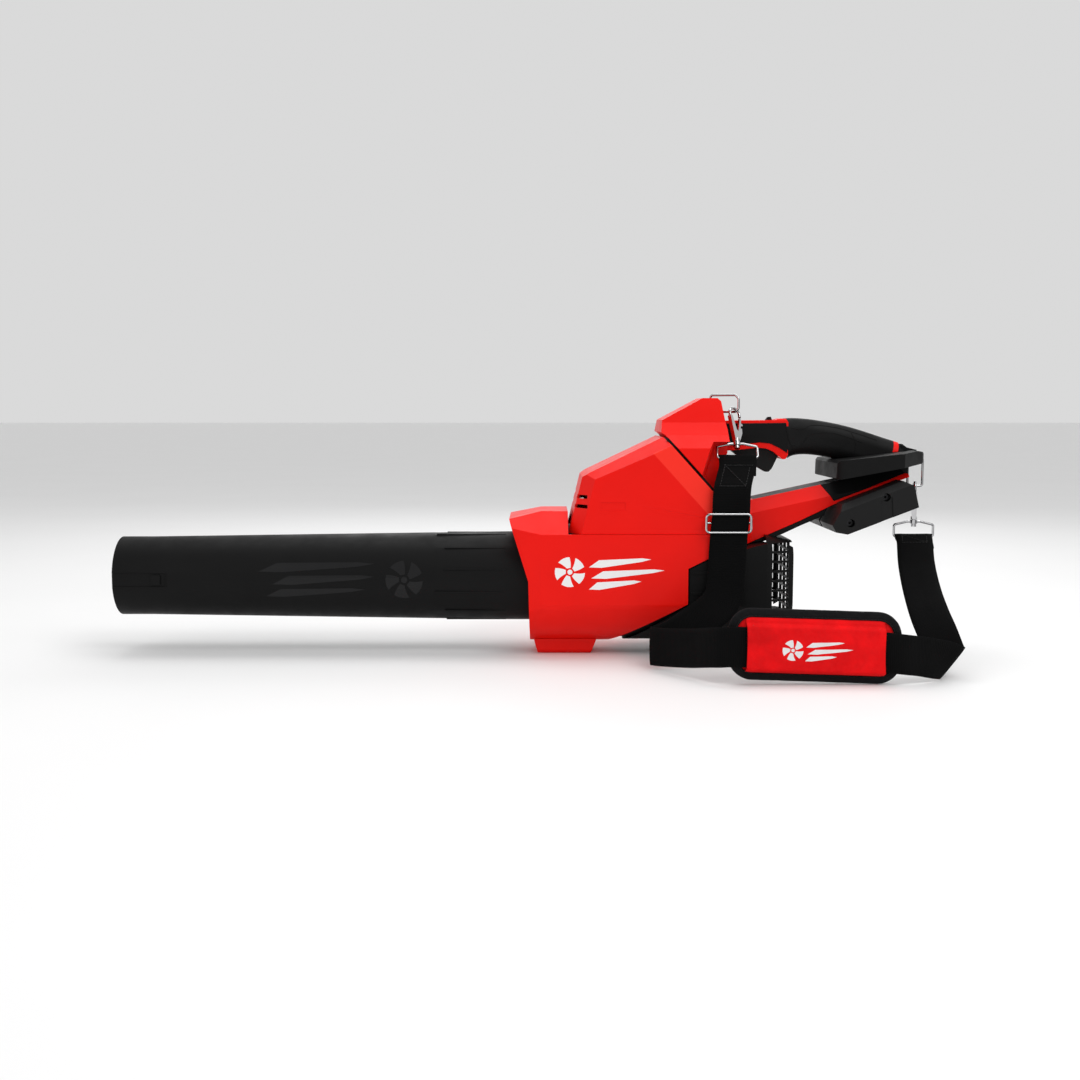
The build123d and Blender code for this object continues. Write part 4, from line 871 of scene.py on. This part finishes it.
columns, rows = 96, 40
grid = []
for row in range(rows + 1):
    z = -SLEEVE_HALF + 2 * SLEEVE_HALF * row / rows
    for column in range(columns + 1):
        bow = 0.9 * math.cos(z / SLEEVE_HALF * math.pi / 2)
        x = SLEEVE_X[0] + (SLEEVE_X[1] - SLEEVE_X[0]) * column / columns
        x -= bow * (2 * column / columns - 1)
        world_x, world_z = tilt(x, z)
        grid.append(Vector((world_x, sleeve_y(x, z), world_z)) * MM)
sleeve_faces = []
for row in range(rows):
    for column in range(columns):
        a = row * (columns + 1) + column
        sleeve_faces.append((a, a + 1, a + columns + 2, a + columns + 1))
sleeve = piece("pad_sleeve_cloth", (grid, sleeve_faces), red_cloth, "blower")
hem = sleeve.modifiers.new("hem", "SOLIDIFY")
hem.thickness = 0.0009
hem.offset = 1
apply_modifiers(sleeve)
for polygon in sleeve.data.polygons:
    polygon.use_smooth = True
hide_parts("pad_sleeve")

for label, at_x in (("left", SLEEVE_X[0] + 7.6), ("right", SLEEVE_X[1] - 7.6)):
    line, normals = [], []
    for step in range(49):
        z = -SLEEVE_HALF + 5 + (2 * SLEEVE_HALF - 10) * step / 48
        world_x, world_z = tilt(at_x, z)
        line.append(Vector((world_x, sleeve_y(at_x, z) - 0.05, world_z)) * MM)
        normals.append(Vector((0, -1, 0)))
    stitches(f"sleeve_stitching_{label}", line, normals[:-1], 0.0032, 0.0023, 0.00032, thread_red,
             "blower")


# ------------------------------------------------------------------ prints and moulded detail
OUTSIDE = 0.6               # m from the middle plane, well clear of the part
SINK = 0.12                 # how far a print's walls go into the surface, mm


def surface_of(*objects):
    """Search trees of the objects as they look, with their rounded edges."""
    graph = bpy.context.evaluated_depsgraph_get()
    return [BVHTree.FromObject(obj, graph) for obj in objects]


def drop_on(trees, x, z, side):
    """Point and outward normal where a line along Y from one side first meets the surface."""
    start = Vector((x * MM, side * OUTSIDE, z * MM))
    best = None
    for tree in trees:
        place, normal, _, distance = tree.ray_cast(start, Vector((0, -side, 0)), 1.0)
        if place and (best is None or distance < best[2]):
            if normal.y * side < 0:
                normal = -normal
            best = (place, normal, distance)
    return best


def applied(name, outlines, trees, side, rise, shader, body, cell=2.5):
    """Thin plate with (x, z) outlines in mm laid on a surface, with walls down to it."""
    work = bmesh.new()
    for outline in outlines:
        face = work.faces.new([work.verts.new((x, z, 0)) for x, z in outline])
        face.normal_update()
    bmesh.ops.triangulate(work, faces=work.faces)
    xs = [v.co.x for v in work.verts]
    zs = [v.co.y for v in work.verts]
    for axis, low, high in (((1, 0, 0), min(xs), max(xs)), ((0, 1, 0), min(zs), max(zs))):
        cut = math.floor(low / cell) * cell + cell
        while cut < high:
            place = tuple(cut * a for a in axis)
            bmesh.ops.bisect_plane(work, geom=work.verts[:] + work.edges[:] + work.faces[:], dist=1e-5,
                                   plane_co=place, plane_no=axis)
            cut += cell
    work.verts.index_update()
    vertices, lows = [], []
    for vertex in work.verts:
        place, normal, _ = drop_on(trees, vertex.co.x, vertex.co.y, side)
        vertices.append(place + normal * rise * MM)
        lows.append(place - normal * SINK * MM)
    count = len(vertices)
    faces = []
    for face in work.faces:
        loop = tuple(v.index for v in face.verts)
        faces += [loop, tuple(i + count for i in reversed(loop))]
    for edge in work.edges:
        if edge.is_boundary:
            a, b = (v.index for v in edge.verts)
            faces.append((a, b, b + count, a + count))
    work.free()
    obj = piece(name, (vertices + lows, faces), shader, body, smooth=False)
    tidy_normals(obj)
    return obj


def ridge(name, points, trees, side, radius, shader, body):
    """Low moulded bead along an (x, z) line on a surface."""
    line = spline([Vector((x, 0, z)) for x, z in points], 10)
    laid = []
    for point in line:
        hit = drop_on(trees, point.x, point.z, side)
        if hit:
            laid.append(hit[0] + hit[1] * radius * MM * 0.15)
    return piece(name, tube(laid, radius * MM, 8), shader, body)


def streak(start, length, thick, lean):
    """Tapered slanting bar: blunt at the left, drawn to a point at the right."""
    x, z = start
    return [(x, z), (x + length * 0.16, z + thick), (x + length * 0.86, z + thick * 0.72 + lean),
            (x + length, z + thick * 0.5 + lean * 1.1), (x + length * 0.84, z + thick * 0.2 + lean),
            (x + length * 0.2, z - thick * 0.06)]


def wheel_mark(middle, radius, blades=5):
    """Round fan symbol: separate curved blades about a hub."""
    start, sweep, wide = 0.15, 0.20, 0.85       # turns in radians; root and hub as shares of the radius
    root, hub = 0.3, 0.17

    def polar(angle, r):
        return middle[0] + r * math.cos(angle), middle[1] + r * math.sin(angle)

    shapes = []
    steps = (0, 0.25, 0.5, 0.75, 1)
    for blade in range(blades):
        base = 2 * math.pi * blade / blades + start
        inner = [(base + sweep * t, radius * (root + (1 - root) * t)) for t in steps]
        rim = [(base + sweep + wide * t, radius) for t in steps[1:-1]]
        outer = [(base + wide + sweep * t, radius * (root + (1 - root) * t)) for t in reversed(steps)]
        shapes.append([polar(angle, r) for angle, r in inner + rim + outer])
    shapes.append([polar(corner * math.pi / 8, radius * hub) for corner in range(16)])
    return shapes


body_trees = surface_of(nodes["body_shell_left"], nodes["body_shell_right"])
for label, side in SIDES:
    mark = wheel_mark((6, 113), 19)
    mark += [streak((30, 119), 78, 9, 5), streak((33, 105), 92, 9, 5), streak((30, 91), 66, 9, 5)]
    applied(f"body_mark_{label}", mark, body_trees, side, 0.12, white_print, "blower")

tube_trees = surface_of(nodes["nozzle_tube"])
for label, side in SIDES:
    bars = [streak((-392, 110), 150, 11, 4), streak((-374, 94), 132, 11, 4), streak((-384, 78), 130, 10, 4)]
    bars += wheel_mark((-205, 100), 24)
    applied(f"nozzle_mark_{label}", bars, tube_trees, side, 0.35, gloss_black, "nozzle")

# key slot from the mouth back to each catch, framed by a low bead
SLOT_BEADS = {
    "upper": [(-579, 108), (-545, 108), (-511, 108)],
    "lower": [(-579, 90), (-545, 90), (-511, 90)],
    "end": [(-511, 90), (-511, 99), (-511, 108)],
}
for label, side in SIDES:
    for part, points in SLOT_BEADS.items():
        ridge(f"nozzle_slot_{part}_{label}", points, tube_trees, side, 0.75, nozzle_black,
              "nozzle")

sleeve_tree = surface_of(sleeve)
sleeve_mark = wheel_mark((258, 42), 12)
sleeve_mark += [streak(start, length, 5.2, 2) for start, length in (
    ((273, 45.5), 44), ((275, 37.5), 52), ((272, 29.5), 36))]
applied("sleeve_mark", sleeve_mark, sleeve_tree, -1, 0.3, white_thread, "blower", cell=2.0)

GRIP_SEAMS = {              # bead radius, and its line from the side, mm
    "front": (0.55, [(285, 300), (288, 284), (293, 270), (300, 262)]),
    "upper": (0.5, [(293, 293), (306, 291), (318, 296), (352, 293), (380, 285), (404, 277)]),
    "lower": (0.5, [(291, 272), (305, 271), (316, 283), (340, 287), (366, 281), (384, 274)]),
    "rear": (0.5, [(370, 288), (376, 272), (372, 258)]),
}
DOT_PITCH, DOT_ROW = 3.3, 3.0
DOT_WIDE, DOT_HIGH = 1.1, 0.9
grip_trees = surface_of(nodes["grip_overmould"], nodes["handle_panel_left"], nodes["handle_panel_right"])
for label, side in SIDES:
    for part, (radius, points) in GRIP_SEAMS.items():
        ridge(f"grip_seam_{part}_{label}", points, grip_trees, side, radius, grip_rubber,
              "blower")
    dots = []
    for row in range(7):
        for column in range(16 - row):
            x = 318 + column * DOT_PITCH + (row % 2) * DOT_PITCH / 2 + row * 0.6
            z = 280.5 - row * DOT_ROW - abs(column - 4) * 0.45
            dots.append([(x - DOT_WIDE, z), (x, z + DOT_HIGH), (x + DOT_WIDE, z), (x, z - DOT_HIGH)])
    applied(f"grip_texture_{label}", dots, grip_trees, side, 0.35, grip_rubber, "blower",
            cell=50)


# ------------------------------------------------------------------ floor
def floor_shader():
    s = Shader("floor", (0.87, 0.87, 0.87), 0.6, specular=0.1)
    s.vary_colour(s.ramp(s.noise(3, 2), 0, 0.3), (0.84, 0.84, 0.84))
    s.bump(s.noise(300, 2), 0.05, 0.0002)
    return s


SPREAD = 30.0
floor_mesh = bpy.data.meshes.new("floor")
floor_mesh.from_pydata([(x * SPREAD, y * SPREAD, 0) for x, y in ((-1, -1), (1, -1), (1, 1), (-1, 1))], [],
                       [(0, 1, 2, 3)])
floor = bpy.data.objects.new("floor", floor_mesh)
scene.collection.objects.link(floor)
floor_mesh.materials.append(floor_shader().material)
